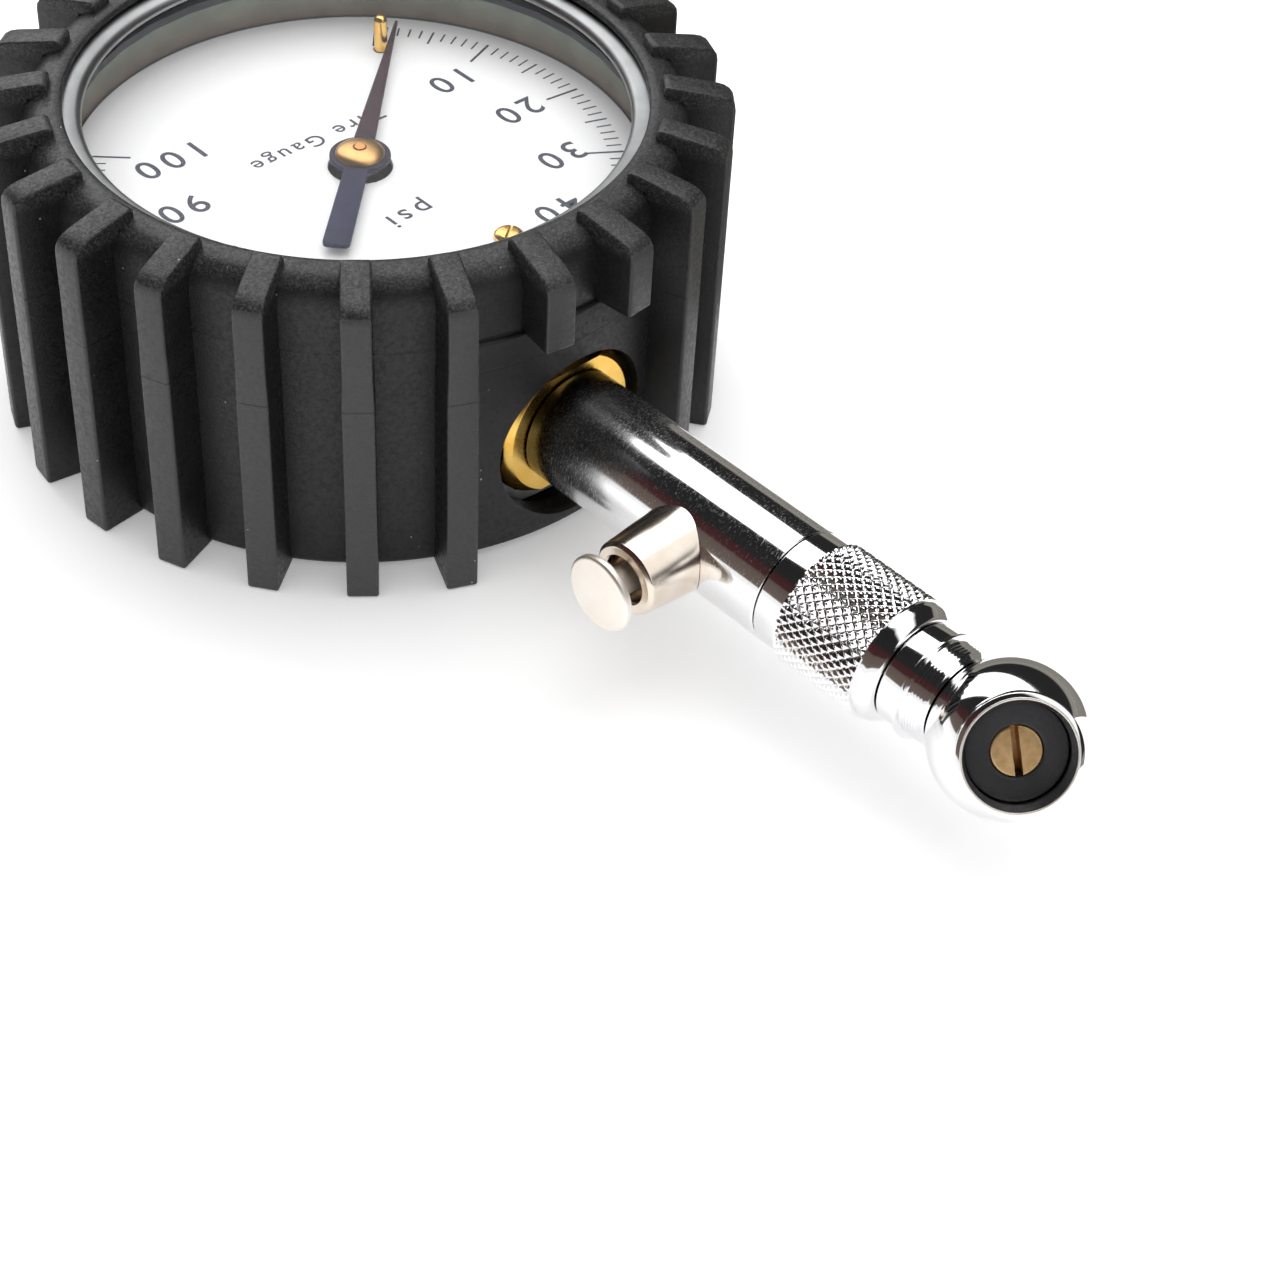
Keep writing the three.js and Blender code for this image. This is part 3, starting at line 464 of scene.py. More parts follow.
def lacquer(name, slot, tail, pointer, angle):
    """The needle's lacquer, mottled, which passes from one tint on the tail to another on the pointer."""
    made = Finish(name, slot, tail, 0.45, Specular_IOR_Level=0.12)
    turn = (0, 0, -angle)
    along = made.node("ShaderNodeMapping", {"Vector": made.place, "Rotation": turn}).outputs["Vector"]
    split = made.node("ShaderNodeSeparateXYZ", {"Vector": along})
    share = made.passing(split.outputs[1], -5 * MM, 5 * MM)
    tint = made.blended(share, (*tail, 1), (*pointer, 1))
    cloud = made.ramp(made.noise(0.9, 5.0), (0.3, 0.6), (0.75, 1.6))
    made.set("Base Color", made.blended(1.0, tint, cloud, "MULTIPLY"))
    made.set("Normal", made.bump(made.noise(0.3, 4.0), 0.3, 0.01))
    return made.material


def glass(name, slot):
    """The clear window. Most light passes straight through it."""
    made = Finish(name, slot, (0.96, 0.98, 1.0), 0.04, Alpha=0.025, IOR=1.45)
    made.set("Normal", made.bump(made.noise(14.0, 2.0), 0.1, 0.01))
    return made.material


def liner_metal(name, slot, low, high):
    """The case's inside wall: dull metal whose tint changes from the dial up to the window."""
    made = Finish(name, slot, high, 0.45, metallic=0.5)
    share = made.passing(made.axis(2), DIAL_TOP, DIAL_TOP + 5.0)
    tint = made.ramp(share, (0.05, low), (0.75, high))
    cloud = made.ramp(made.noise(3.0, 3.0), (0.3, 0.8), (0.7, 1.15))
    made.set("Base Color", made.blended(1.0, tint, cloud, "MULTIPLY"))
    made.set("Normal", made.bump(made.noise(0.4, 3.0), 0.2, 0.01))
    return made.material


# Settings


def colour_setting(name, description, default):
    return FloatVectorProperty(
        name=name, description=description, default=default, subtype="COLOR", size=3, min=0.0, max=1.0,
    )


def length_setting(name, description, default):
    return FloatProperty(name=name, description=description, default=default * MM, unit="LENGTH", min=0.0)


def angle_setting(name, description, default):
    return FloatProperty(
        name=name, description=description, default=math.radians(default), subtype="ANGLE",
    )


class BootSettings(bpy.types.PropertyGroup):
    rib_count: IntProperty(name="Ribs", description="Ribs around the boot", default=24, min=8, max=48)
    rib_width: length_setting("Rib width", "Width of a rib near its foot", 3.3)
    rib_edge: length_setting("Rib edge", "Rounding of a rib's edges", 0.28)
    rib_turn: angle_setting("Rib turn", "How far the ribs are off centre about the stem", -1.7)
    rubber: colour_setting("Rubber", "Colour of the boot's rubber", (0.0085, 0.0085, 0.009))


class CaseSettings(bpy.types.PropertyGroup):
    steel: colour_setting("Steel", "Colour of the bezel", (0.36, 0.365, 0.37))
    liner_low: colour_setting("Liner, low", "Tint of the inside wall at the dial", (0.17, 0.12, 0.085))
    liner_high: colour_setting("Liner, high", "Tint of the inside wall at the window", (0.20, 0.23, 0.19))


class DialSettings(bpy.types.PropertyGroup):
    full_scale: IntProperty(name="Full scale", description="Highest pressure on the dial", default=100)
    scale_start: angle_setting("Scale start", "Angle of zero from twelve o'clock", -137.7)
    scale_sweep: angle_setting("Scale sweep", "Angle from zero to the full scale", 270)
    tick_radius: length_setting("Scale radius", "Outer ends of the marks", 28.8)
    numeral_height: length_setting("Numeral height", "Height of the numerals", 3.45)
    ink: colour_setting("Ink", "Colour of the printing", (0.022, 0.024, 0.05))
    face: colour_setting("Face", "Colour of the dial", (0.955, 0.955, 0.955))
    # The rim colour is painted shade at the dial's edge.
    rim: colour_setting("Rim", "Colour of the dial at its edge", (0.80, 0.80, 0.82))


class NeedleSettings(bpy.types.PropertyGroup):
    angle: angle_setting("Needle angle", "Needle's angle at zero, from twelve o'clock", 132.7)
    pointer: colour_setting("Pointer", "Tint of the pointer", (0.040, 0.017, 0.023))
    tail: colour_setting("Tail", "Tint of the tail", (0.020, 0.020, 0.055))


class StemSettings(bpy.types.PropertyGroup):
    chrome: colour_setting("Chrome", "Colour of the chrome", (0.93, 0.93, 0.94))
    nickel: colour_setting("Nickel", "Colour of the bleeder's nickel", (0.88, 0.80, 0.71))
    brass: colour_setting("Brass", "Colour of the brass", (0.93, 0.62, 0.17))
    knurl_count: IntProperty(name="Knurl count", description="Diamonds around the nut", default=38)
    knurl_pitch: length_setting("Knurl pitch", "Length of a diamond along the stem", 1.32)
    knurl_depth: length_setting("Knurl depth", "Depth of the knurl's grooves", 0.28)


class ChuckSettings(bpy.types.PropertyGroup):
    tilt: angle_setting("Tilt", "Angle of the cup from the stem's axis", 50)
    turn: angle_setting("Turn", "Angle of the cup about the stem's axis", 41)
    core: colour_setting("Core", "Colour of the brass core", (0.93, 0.66, 0.36))
    seal: colour_setting("Seal", "Colour of the rubber seal", (0.022, 0.022, 0.025))


class StudioSettings(bpy.types.PropertyGroup):
    focal_length: FloatProperty(name="Focal length", description="In millimetres", default=76.46)
    azimuth: angle_setting("Azimuth", "Camera's direction from +X", 44.42)
    elevation: angle_setting("Elevation", "Camera's height above the floor", 42.97)
    roll: angle_setting("Roll", "Camera's roll about its view", 3.75)
    distance: length_setting("Distance", "Camera's distance from its target", 276.6)
    key_light: FloatProperty(name="Key light", description="Power of the softbox", default=2.3)
    sky_light: FloatProperty(name="Sky light", description="Strength of the light all around", default=0.99)


SETTINGS = {
    "gauge_boot": BootSettings,
    "gauge_case": CaseSettings,
    "gauge_dial": DialSettings,
    "gauge_needle": NeedleSettings,
    "gauge_stem": StemSettings,
    "gauge_chuck": ChuckSettings,
    "gauge_studio": StudioSettings,
}


# Pieces


def draft(shape, heights, widths):
    """Splits a rib at heights and narrows it towards its top, as its mould does."""
    for height in heights:
        geometry = shape.verts[:] + shape.edges[:] + shape.faces[:]
        bmesh.ops.bisect_plane(shape, geom=geometry, plane_co=(0, 0, height), plane_no=(0, 0, 1))
    for vertex in shape.verts:
        share = (vertex.co.z - heights[0]) / (heights[1] - heights[0])
        vertex.co.y *= widths[0] + (widths[1] - widths[0]) * min(1, max(0, share))


def rib(bottom, settings):
    """A rib standing at +X: up its outside, over a rounded corner and in across the rim."""
    half = settings.rib_width / MM / 2
    outline = filleted([
        (34.2, bottom, 0), (RIB_REACH, bottom, 0.5), (RIB_REACH, 34.5, 0), (39.88, 35.15, 0), (39.5, 35.7, 0),
        (38.9, 36.1, 0), (38.1, 36.35, 0), (32.75, 37.35, 0.35), (32.2, 37.1, 0.25), (32.2, 35.7, 0),
        (34.2, 35.4, 0),
    ], 0.3, 3, True)
    shape = prism(outline, -half, half, settings.rib_edge / MM, 3)
    moved(shape, Matrix.Rotation(math.radians(90), 4, "X"))
    if bottom < 1:
        draft(shape, (RIB_SEAM, 28.3), (1.0, 0.93))
    return shape


class GAUGE_OT_boot(bpy.types.Operator):
    """The ribbed rubber boot with its port for the stem"""
    bl_idname = "gauge.boot"
    bl_label = "Boot"

    def execute(self, context):
        settings = context.scene.gauge_boot
        shell = lathe([
            (0, 0), (34.5, 0, 0.6), (35.25, 0.8, 0.3), (35.25, 33.4, 0.8), (34.7, 34.9, 0.6),
            (33.4, 35.95, 0.6), (31.6, SHELL_TOP, 0.5), (30.85, 36.1, 0.2), (30.7, 35.65, 0.2),
            (30.9, 35.25, 0.1), (33.3, 35.25, 0), (33.3, 1.8, 0.4), (0, 1.8),
        ], CASE_SIDES)
        count = settings.rib_count
        ribs = []
        for index in range(count):
            over_stem = index in (0, count - 1)
            angle = math.pi / 2 + settings.rib_turn + 2 * math.pi * (index + 0.5) / count
            made = rib(PANEL_TOP if over_stem else 0, settings)
            ribs.append(moved(made, Matrix.Rotation(angle, 4, "Z")))
        reach = 3 * math.pi / count
        centre = math.pi / 2 + settings.rib_turn
        arc = [centre - reach + 2 * reach * step / 24 for step in range(25)]
        outline = [(35.75 * math.cos(angle), 35.75 * math.sin(angle)) for angle in arc]
        outline += [(34.2 * math.cos(angle), 34.2 * math.sin(angle)) for angle in reversed(arc)]
        panel = prism(outline, 0.8, PANEL_TOP, 0.32, 3)
        whole = combined("UNION", shell, panel, gathered(ribs))
        mouth = PORT_RADIUS + 0.25
        port = lathe([
            (0, 28), (PORT_RADIUS, 28), (PORT_RADIUS, 35.2), (mouth, 35.75), (mouth, 42), (0, 42),
        ], 96)
        port = moved(port, Matrix.Translation((0, 0, -0.6)) @ TO_STEM)
        whole = combined("DIFFERENCE", whole, port)
        material = rubber(
            "moulded boot rubber", "boot_rubber", tuple(settings.rubber), 0.45, 0.3,
            seams=(RIB_SEAM, PANEL_TOP + 0.15, 35.3), dust=0.35,
        )
        piece("boot", whole, material, stands_for=["rubber_boot"], sharp=38)
        return {"FINISHED"}


class GAUGE_OT_case(bpy.types.Operator):
    """The bezel, the window and the wall between the dial and the window"""
    bl_idname = "gauge.case"
    bl_label = "Case and window"

    def execute(self, context):
        settings = context.scene.gauge_case
        steel = tuple(settings.steel)
        shade = tuple(channel * 0.86 for channel in steel)
        satin = turned_metal("satin bezel steel", "case_steel", (steel, shade), 0.36, 2, 0.15, 0.001)
        bezel = lathe([
            (28.9, 33.9), (31.95, 33.9), (31.95, 33.3), (33, 33.3), (33, 35.05, 0.3), (30.4, 35.05, 0.4),
            (29.3, 34.85, 0.3), (28.9, 34.35, 0.2),
        ], CASE_SIDES)
        piece("bezel", bezel, satin, stands_for=["bezel_ring"])
        window = lathe([(0, 32.2), (31.8, 32.2, 0.15), (31.8, 33.7, 0.15), (0, 33.7)], CASE_SIDES)
        piece("window", window, glass("clear window", "lens_clear"), stands_for=["lens"])
        low, high = tuple(settings.liner_low), tuple(settings.liner_high)
        wall = lathe([(31.25, 26.65), (31.95, 26.65), (31.95, 31.1), (31.25, 31.1)], CASE_SIDES)
        piece("inside_wall", wall, liner_metal("inside wall", "case_steel", low, high),
              stands_for=["dial_spacer"])
        finish_node("gauge_case", satin)
        finish_node("lens_gasket", rubber("gasket rubber", "seal_rubber", (0.03, 0.03, 0.04), 0.5, 0.2))
        return {"FINISHED"}


def finish_node(name, material):
    """Gives a carried-over CAD node its finish."""
    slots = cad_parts[name].data.materials
    slots.clear()
    slots.append(material)


def lettering(words, height, centre, spacing, bold=0.007):
    """Words as a thin raised print, upright towards twelve o'clock."""
    curve = bpy.data.curves.new("words", "FONT")
    curve.body = words
    curve.size = height / 0.72
    curve.space_character = spacing
    curve.align_x = "CENTER"
    curve.align_y = "CENTER"
    curve.offset = bold * curve.size
    curve.extrude = 0.006
    curve.resolution_u = 6
    obj = bpy.data.objects.new("words", curve)
    bpy.context.scene.collection.objects.link(obj)
    bpy.context.view_layer.update()
    data = bpy.data.meshes.new_from_object(obj.evaluated_get(bpy.context.evaluated_depsgraph_get()))
    shape = bmesh.new()
    shape.from_mesh(data)
    bpy.data.objects.remove(obj)
    bpy.data.meshes.remove(data)
    bmesh.ops.remove_doubles(shape, verts=shape.verts[:], dist=0.0005)
    return moved(shape, Matrix.Translation((centre[0], centre[1], DIAL_TOP + 0.012)))


class GAUGE_OT_dial(bpy.types.Operator):
    """The dial plate, its printed scale, its screws and the zero pin"""
    bl_idname = "gauge.dial"
    bl_label = "Dial"

    def execute(self, context):
        settings = context.scene.gauge_dial
        brass = tuple(context.scene.gauge_stem.brass)
        face = enamel("dial enamel", "dial_white", tuple(settings.face), tuple(settings.rim), 31.1)
        plate = lathe([(3.5, 26), (31.1, 26), (31.1, DIAL_TOP, 0.15), (3.5, DIAL_TOP)], CASE_SIDES)
        drills = []
        for node in ("dial_screw_left", "dial_screw_right", "zero_pin"):
            drills.append(moved(lathe(rod(0.9, 25, 28), 48), over(node)))
        plate = combined("DIFFERENCE", plate, *drills)
        piece("dial", plate, face, stands_for=["dial_plate"])
        self.print_scale(settings)
        gold = flat_metal("dial screw brass", "brass", (brass, (0.85, 0.48, 0.12)), 0.2)
        for side in ("left", "right"):
            node = f"dial_screw_{side}"
            screw = lathe([
                (0, 23.4), (0.75, 23.4, 0.2), (0.75, DIAL_TOP + 0.1, 0), (1.62, DIAL_TOP + 0.1, 0.1),
                (1.62, DIAL_TOP + 0.45, 0.2), (1.15, DIAL_TOP + 0.8, 0.2), (0, DIAL_TOP + 0.85),
            ], 64)
            slot = box((-2, 2), (-0.2, 0.2), (DIAL_TOP + 0.42, DIAL_TOP + 1.2))
            moved(slot, Matrix.Rotation(math.radians(35), 4, "Z"))
            screw = combined("DIFFERENCE", screw, slot)
            piece(f"dial_screw_head_{side}", moved(screw, over(node)), gold, stands_for=[node])
        pin = lathe([
            (0, 24.9), (1.2, 24.9), (1.2, 25.9), (0.75, 25.9), (0.75, 30.45, 0.3),
            (0.5, 30.85, 0.2), (0, 30.9),
        ], 64)
        piece("stop_pin", moved(pin, over("zero_pin")), gold, stands_for=["zero_pin"])
        return {"FINISHED"}

    def print_scale(self, settings):
        height = settings.numeral_height / MM
        outer = settings.tick_radius / MM
        marks = ((10, 4.2, 0.3), (5, 2.6, 0.24), (1, 1.7, 0.2))
        prints = []
        for value in range(settings.full_scale + 1):
            angle = settings.scale_start + settings.scale_sweep * value / settings.full_scale
            length, width = next(mark[1:] for mark in marks if value % mark[0] == 0)
            tick = box((-width / 2, width / 2), (outer - length, outer), (DIAL_TOP + 0.006, DIAL_TOP + 0.018))
            prints.append(moved(tick, Matrix.Rotation(-angle, 4, "Z")))
            if value % 10 or value == 0:
                continue
            reach = 20.2 + 2.5 * max(0, math.cos(angle)) ** 0.7
            if value == 80:
                reach = 22.4  # near the dial's edge
            if value in (50, 60):
                angle += math.radians(4.2)  # clear of the dial's screws
            centre = (reach * math.sin(angle), reach * math.cos(angle))
            prints.append(lettering(str(value), height, centre, 1.35))
        prints.append(lettering("psi", height * 0.78, (1.6, 10.4), 1.4))
        prints.append(lettering("Tire Gauge", height * 0.62, (0.3, -6.9), 1.3))
        material = ink("dial ink", "needle_black", tuple(settings.ink))
        piece("dial_print", gathered(prints), material)


class GAUGE_OT_needle(bpy.types.Operator):
    """The needle with its hub disc, brass cap and collet"""
    bl_idname = "gauge.needle"
    bl_label = "Needle"

    def execute(self, context):
        settings = context.scene.gauge_needle
        stem = context.scene.gauge_stem
        outline = filleted([
            (-1.25, 0, 0), (-1.45, -17, 0.7), (1.45, -17, 0.7), (1.25, 0, 0), (0.15, 28, 0.1),
            (-0.15, 28, 0.1),
        ], 0.3, 4, True)
        blade = prism(outline, NEEDLE_BOTTOM, NEEDLE_TOP, 0.06, 2)
        disc = lathe([
            (0, NEEDLE_BOTTOM - 0.02), (3.3, NEEDLE_BOTTOM - 0.02, 0.12), (3.3, NEEDLE_TOP + 0.02, 0.12),
            (0, NEEDLE_TOP + 0.02),
        ], 128)
        needle = combined("UNION", blade, disc)
        needle = combined("DIFFERENCE", needle, lathe(rod(0.7, 20, 30), 48))
        moved(needle, Matrix.Rotation(settings.angle, 4, "Z"))
        paint = lacquer("needle lacquer", "needle_black", tuple(settings.tail), tuple(settings.pointer),
                        settings.angle)
        piece("needle_blade", needle, paint, "pointer", ["needle"])
        cap = lathe([
            (0.68, NEEDLE_TOP + 0.05, 0), (2.7, NEEDLE_TOP + 0.05, 0.06), (2.66, NEEDLE_TOP + 0.22, 0.1),
            (2.5, NEEDLE_TOP + 0.4, 0), (2.25, NEEDLE_TOP + 0.56, 0), (1.9, NEEDLE_TOP + 0.7, 0),
            (1.5, NEEDLE_TOP + 0.8, 0), (1.1, NEEDLE_TOP + 0.86, 0), (0.72, NEEDLE_TOP + 0.9, 0.05),
        ], 128)
        cap_brass = turned_metal("cap brass", "brass", ((0.66, 0.42, 0.18), (0.54, 0.31, 0.11)), 0.3, 2, 0.2,
                                 0.002)
        piece("cap", cap, cap_brass, "pointer", ["needle_cap"])
        rest = NEEDLE_BOTTOM - 0.05
        collet = lathe([(0.7, 26.3), (2.5, 26.3), (2.5, rest), (0.7, rest)], 96)
        chrome = tuple(stem.chrome)
        piece("collet", collet, turned_metal("collet nickel", "nickel", (chrome, chrome), 0.12, 2),
              "pointer", ["needle_collet"])
        rivet = turned_metal("arbor bronze", "brass", ((0.85, 0.38, 0.12), (0.7, 0.28, 0.09)), 0.25, 2)
        finish_node("pinion_arbor", rivet)
        return {"FINISHED"}


class GAUGE_OT_movement(bpy.types.Operator):
    """The finishes of the movement, the tube and the other pieces inside the case"""
    bl_idname = "gauge.movement"
    bl_label = "Movement"

    BRASS = (
        "dial_post_left", "dial_post_right", "sector_gear", "link_bar", "tip_block", "hairspring_stud",
        "movement_base", "movement_top", "pillar_upper", "pillar_lower",
    )
    STEEL = (
        "sector_arbor", "tail_pin", "tip_pin", "hairspring", "pillar_screw_upper", "pillar_screw_lower",
        "base_screw_upper", "base_screw_lower", "case_screw_left", "case_screw_right", "bleeder_spring",
        "check_spring", "retaining_ring",
    )
    RUBBER = ("bleeder_seal", "nut_seal", "check_poppet", "shank_seal")

    def execute(self, context):
        gold = tuple(context.scene.gauge_stem.brass)
        brass = flat_metal("movement brass", "brass", (gold, (0.80, 0.52, 0.15)), 0.28)
        steel = flat_metal("movement steel", "spring_steel", ((0.55, 0.56, 0.58), (0.42, 0.43, 0.46)), 0.25)
        black = rubber("inner seal rubber", "seal_rubber", (0.02, 0.02, 0.022), 0.5, 0.2)
        tube = turned_metal("tube bronze", "brass", ((0.82, 0.52, 0.22), (0.72, 0.42, 0.16)), 0.25, 2)
        for names, material in ((self.BRASS, brass), (self.STEEL, steel), (self.RUBBER, black)):
            for name in names:
                finish_node(name, material)
        finish_node("bourdon_tube", tube)
        return {"FINISHED"}


class GAUGE_OT_socket(bpy.types.Operator):
    """The brass socket behind the port"""
    bl_idname = "gauge.socket"
    bl_label = "Socket"

    def execute(self, context):
        gold = tuple(context.scene.gauge_stem.brass)
        low, high = span("socket_block", 2)[0] + 1.65, span("socket_block", 2)[1]
        front = span("socket_block", 1)[1]
        width = (-8.6, 8.6)
        turned = along_stem([(0, 30), (9, 30), (9, front - 1.2, 0.1), (8, front, 0.1), (0, front)])
        nose = combined("INTERSECT", box(width, (30.2, 36), (low, high)), turned)
        body = box(width, (17, 30.5), (low, high))
        foot = box((-7.5, 7.5), (18, 29), (3.75, low + 0.3))
        tongue = box((-6, 6), (-12, 17.2), (8.3, 11.4))
        whole = combined("UNION", nose, body, foot, tongue)
        pocket = lathe([(22.4, 8.1), (25.6, 8.1), (25.6, 16.7), (22.4, 16.7)], 144, fillet=0)
        wedge = prism([(0, 0), (5.2, 29.5), (17.6, 24.3)], 7, 18)
        pocket = combined("INTERSECT", pocket, wedge)
        bore = along_stem(rod(4.95, 27.6, 37), fillet=0)
        gallery = moved(along_stem(rod(1.2, 24, 28), 32, fillet=0), Matrix.Translation((4, 0, 0)))
        cutters = [pocket, bore, gallery]
        for node in ("case_screw_left", "case_screw_right"):
            cutters.append(moved(lathe(rod(1.5, 3, 6.9), 32, fillet=0), over(node)))
        for node in ("base_screw_upper", "base_screw_lower"):
            cutters.append(moved(lathe(rod(0.95, 9, 12), 32, fillet=0), over(node)))
        whole = combined("DIFFERENCE", whole, *cutters)
        shade = (0.86, 0.50, 0.10)
        piece("socket", whole, turned_metal("socket brass", "brass", (gold, shade), 0.2, 1, 0.25, 0.004),
              stands_for=["socket_block"], sharp=25)
        return {"FINISHED"}


def chrome_finish(scene, name, **wear):
    bright = tuple(scene.gauge_stem.chrome)
    shade = tuple(channel * 0.97 for channel in bright)
    return turned_metal(name, "chrome", (bright, shade), 0.05, 1, 0.12, 0.0008, 0.06, **wear)


class GAUGE_OT_barrel(bpy.types.Operator):
    """The stem's chrome barrel"""
    bl_idname = "gauge.barrel"
    bl_label = "Barrel"

    def execute(self, context):
        radius = BARREL_RADIUS
        barrel = along_stem([
            (2, 28), (4.45, 28), (4.85, 28.4), (4.85, 34.6), (radius - 0.1, 34.6), (radius, 34.7, 0.04),
            (radius, BARREL_END - 0.12, 0.05), (radius - 0.12, BARREL_END, 0.05), (3.9, BARREL_END),
            (3.9, 59.5), (2, 59.5),
        ])
        barrel = combined("DIFFERENCE", barrel, along_bleeder(rod(2.6, 0, 8), 64, fillet=0))
        # Start darkens the chrome where it leaves the port, as painted shade.
        finish = chrome_finish(context.scene, "stem chrome", hairs=0.42, start=span("stem_barrel", 1)[0] + 8)
        piece("barrel", barrel, finish, stands_for=["stem_barrel"])
        return {"FINISHED"}


class GAUGE_OT_bleeder(bpy.types.Operator):
    """The bleeder's sleeve and its button"""
    bl_idname = "gauge.bleeder"
    bl_label = "Bleeder"

    def execute(self, context):
        warm = tuple(context.scene.gauge_stem.nickel)
        shade = (0.80, 0.69, 0.58)
        nickel = turned_metal("bleeder nickel", "nickel", (warm, shade), 0.16, 0, 0.14, 0.0016, 0.1)
        shell = along_bleeder([
            (0, 3), (4.75, 3.5), (4.02, 12.1, 0.15), (3.62, 12.5, 0.1), (0, 12.5),
        ])
        saddle = along_stem(rod(BARREL_RADIUS + 0.05, 44, 67.6), fillet=0)
        shell = combined("DIFFERENCE", shell, saddle)
        spigot = along_bleeder(rod(2.45, 2.9, 8), 96, fillet=0)
        whole = combined("UNION", shell, spigot)
        bores = [
            along_bleeder(rod(0.95, 2, 6), 48, fillet=0),
            along_bleeder(rod(1.75, 4.6, 11), 96, fillet=0),
            along_bleeder([
                (0, 9.2), (2.4, 9.3), (2.58, 12.25, 0.1), (2.8, 12.52, 0.1), (2.9, 13.5), (0, 13.5),
            ], fillet=0),
        ]
        whole = combined("DIFFERENCE", whole, *bores)
        piece("sleeve", whole, nickel, stands_for=["bleeder_sleeve"])
        button = along_bleeder([
            (0, 1.3), (1.45, 1.3), (1.45, 1.9), (0.7, 1.9), (0.7, 8.3), (1.5, 8.3), (1.5, 14.8, 0.2),
            (3.75, 14.8, 0.1), (4.1, 15.1, 0.1), (4.1, 15.65, 0.1), (3.85, 15.9, 0.15), (0, 16),
        ])
        cream = ((1.0, 0.95, 0.88), (0.97, 0.90, 0.82))
        head = turned_metal("button nickel", "nickel", cream, 0.42, 0, 0.3, 0.002)
        piece("button", button, head, "button", ["bleeder_button"])
        return {"FINISHED"}


class GAUGE_OT_nut(bpy.types.Operator):
    """The knurled nut"""
    bl_idname = "gauge.nut"
    bl_label = "Knurled nut"

    def execute(self, context):
        settings = context.scene.gauge_stem
        count = settings.knurl_count
        pitch = settings.knurl_pitch / MM
        depth = settings.knurl_depth / MM
        start, end = 71.1, 81.4
        rows = round((end - start) / pitch * 14)

        def groove(turn):
            crest = 0.24
            edge = abs(2 * (turn - math.floor(turn)) - 1)
            return max(0, (edge - crest) / (1 - crest))

        def knurl(angle, height, radius):
            if not start < height < end or radius < 6.6:
                return 0
            around = count * angle / (2 * math.pi)
            along = (height - start) / pitch
            fade = min(1, (height - start) / 0.3, (end - height) / 0.3)
            return -depth * fade * max(groove(around + along), groove(around - along))

        band = [(6.8, start + 0.05 + (end - start - 0.1) * row / rows, 0) for row in range(rows + 1)]
        nut = along_stem([
            (1.6, 61.2), (3.4, 61.2), (3.75, 61.6), (3.75, 67.95), (6.22, 67.95), (6.35, 68.08, 0.05),
            (6.35, start, 0), *band, (6.5, end, 0), (6.5, 82.2, 0.5), (5.7, 83.3, 0.3), (4.5, 83.3),
            (4.5, 81.0), (5.1, 81.0), (5.1, 80.0), (4.5, 80.0), (4.5, 75.4), (1.4, 75.4), (1.4, 74),
            (2.6, 74), (2.6, 66), (1.6, 66),
        ], count * 12, surface=knurl)
        piece("nut", nut, chrome_finish(context.scene, "nut chrome"), stands_for=["knurled_nut"], sharp=24)
        return {"FINISHED"}


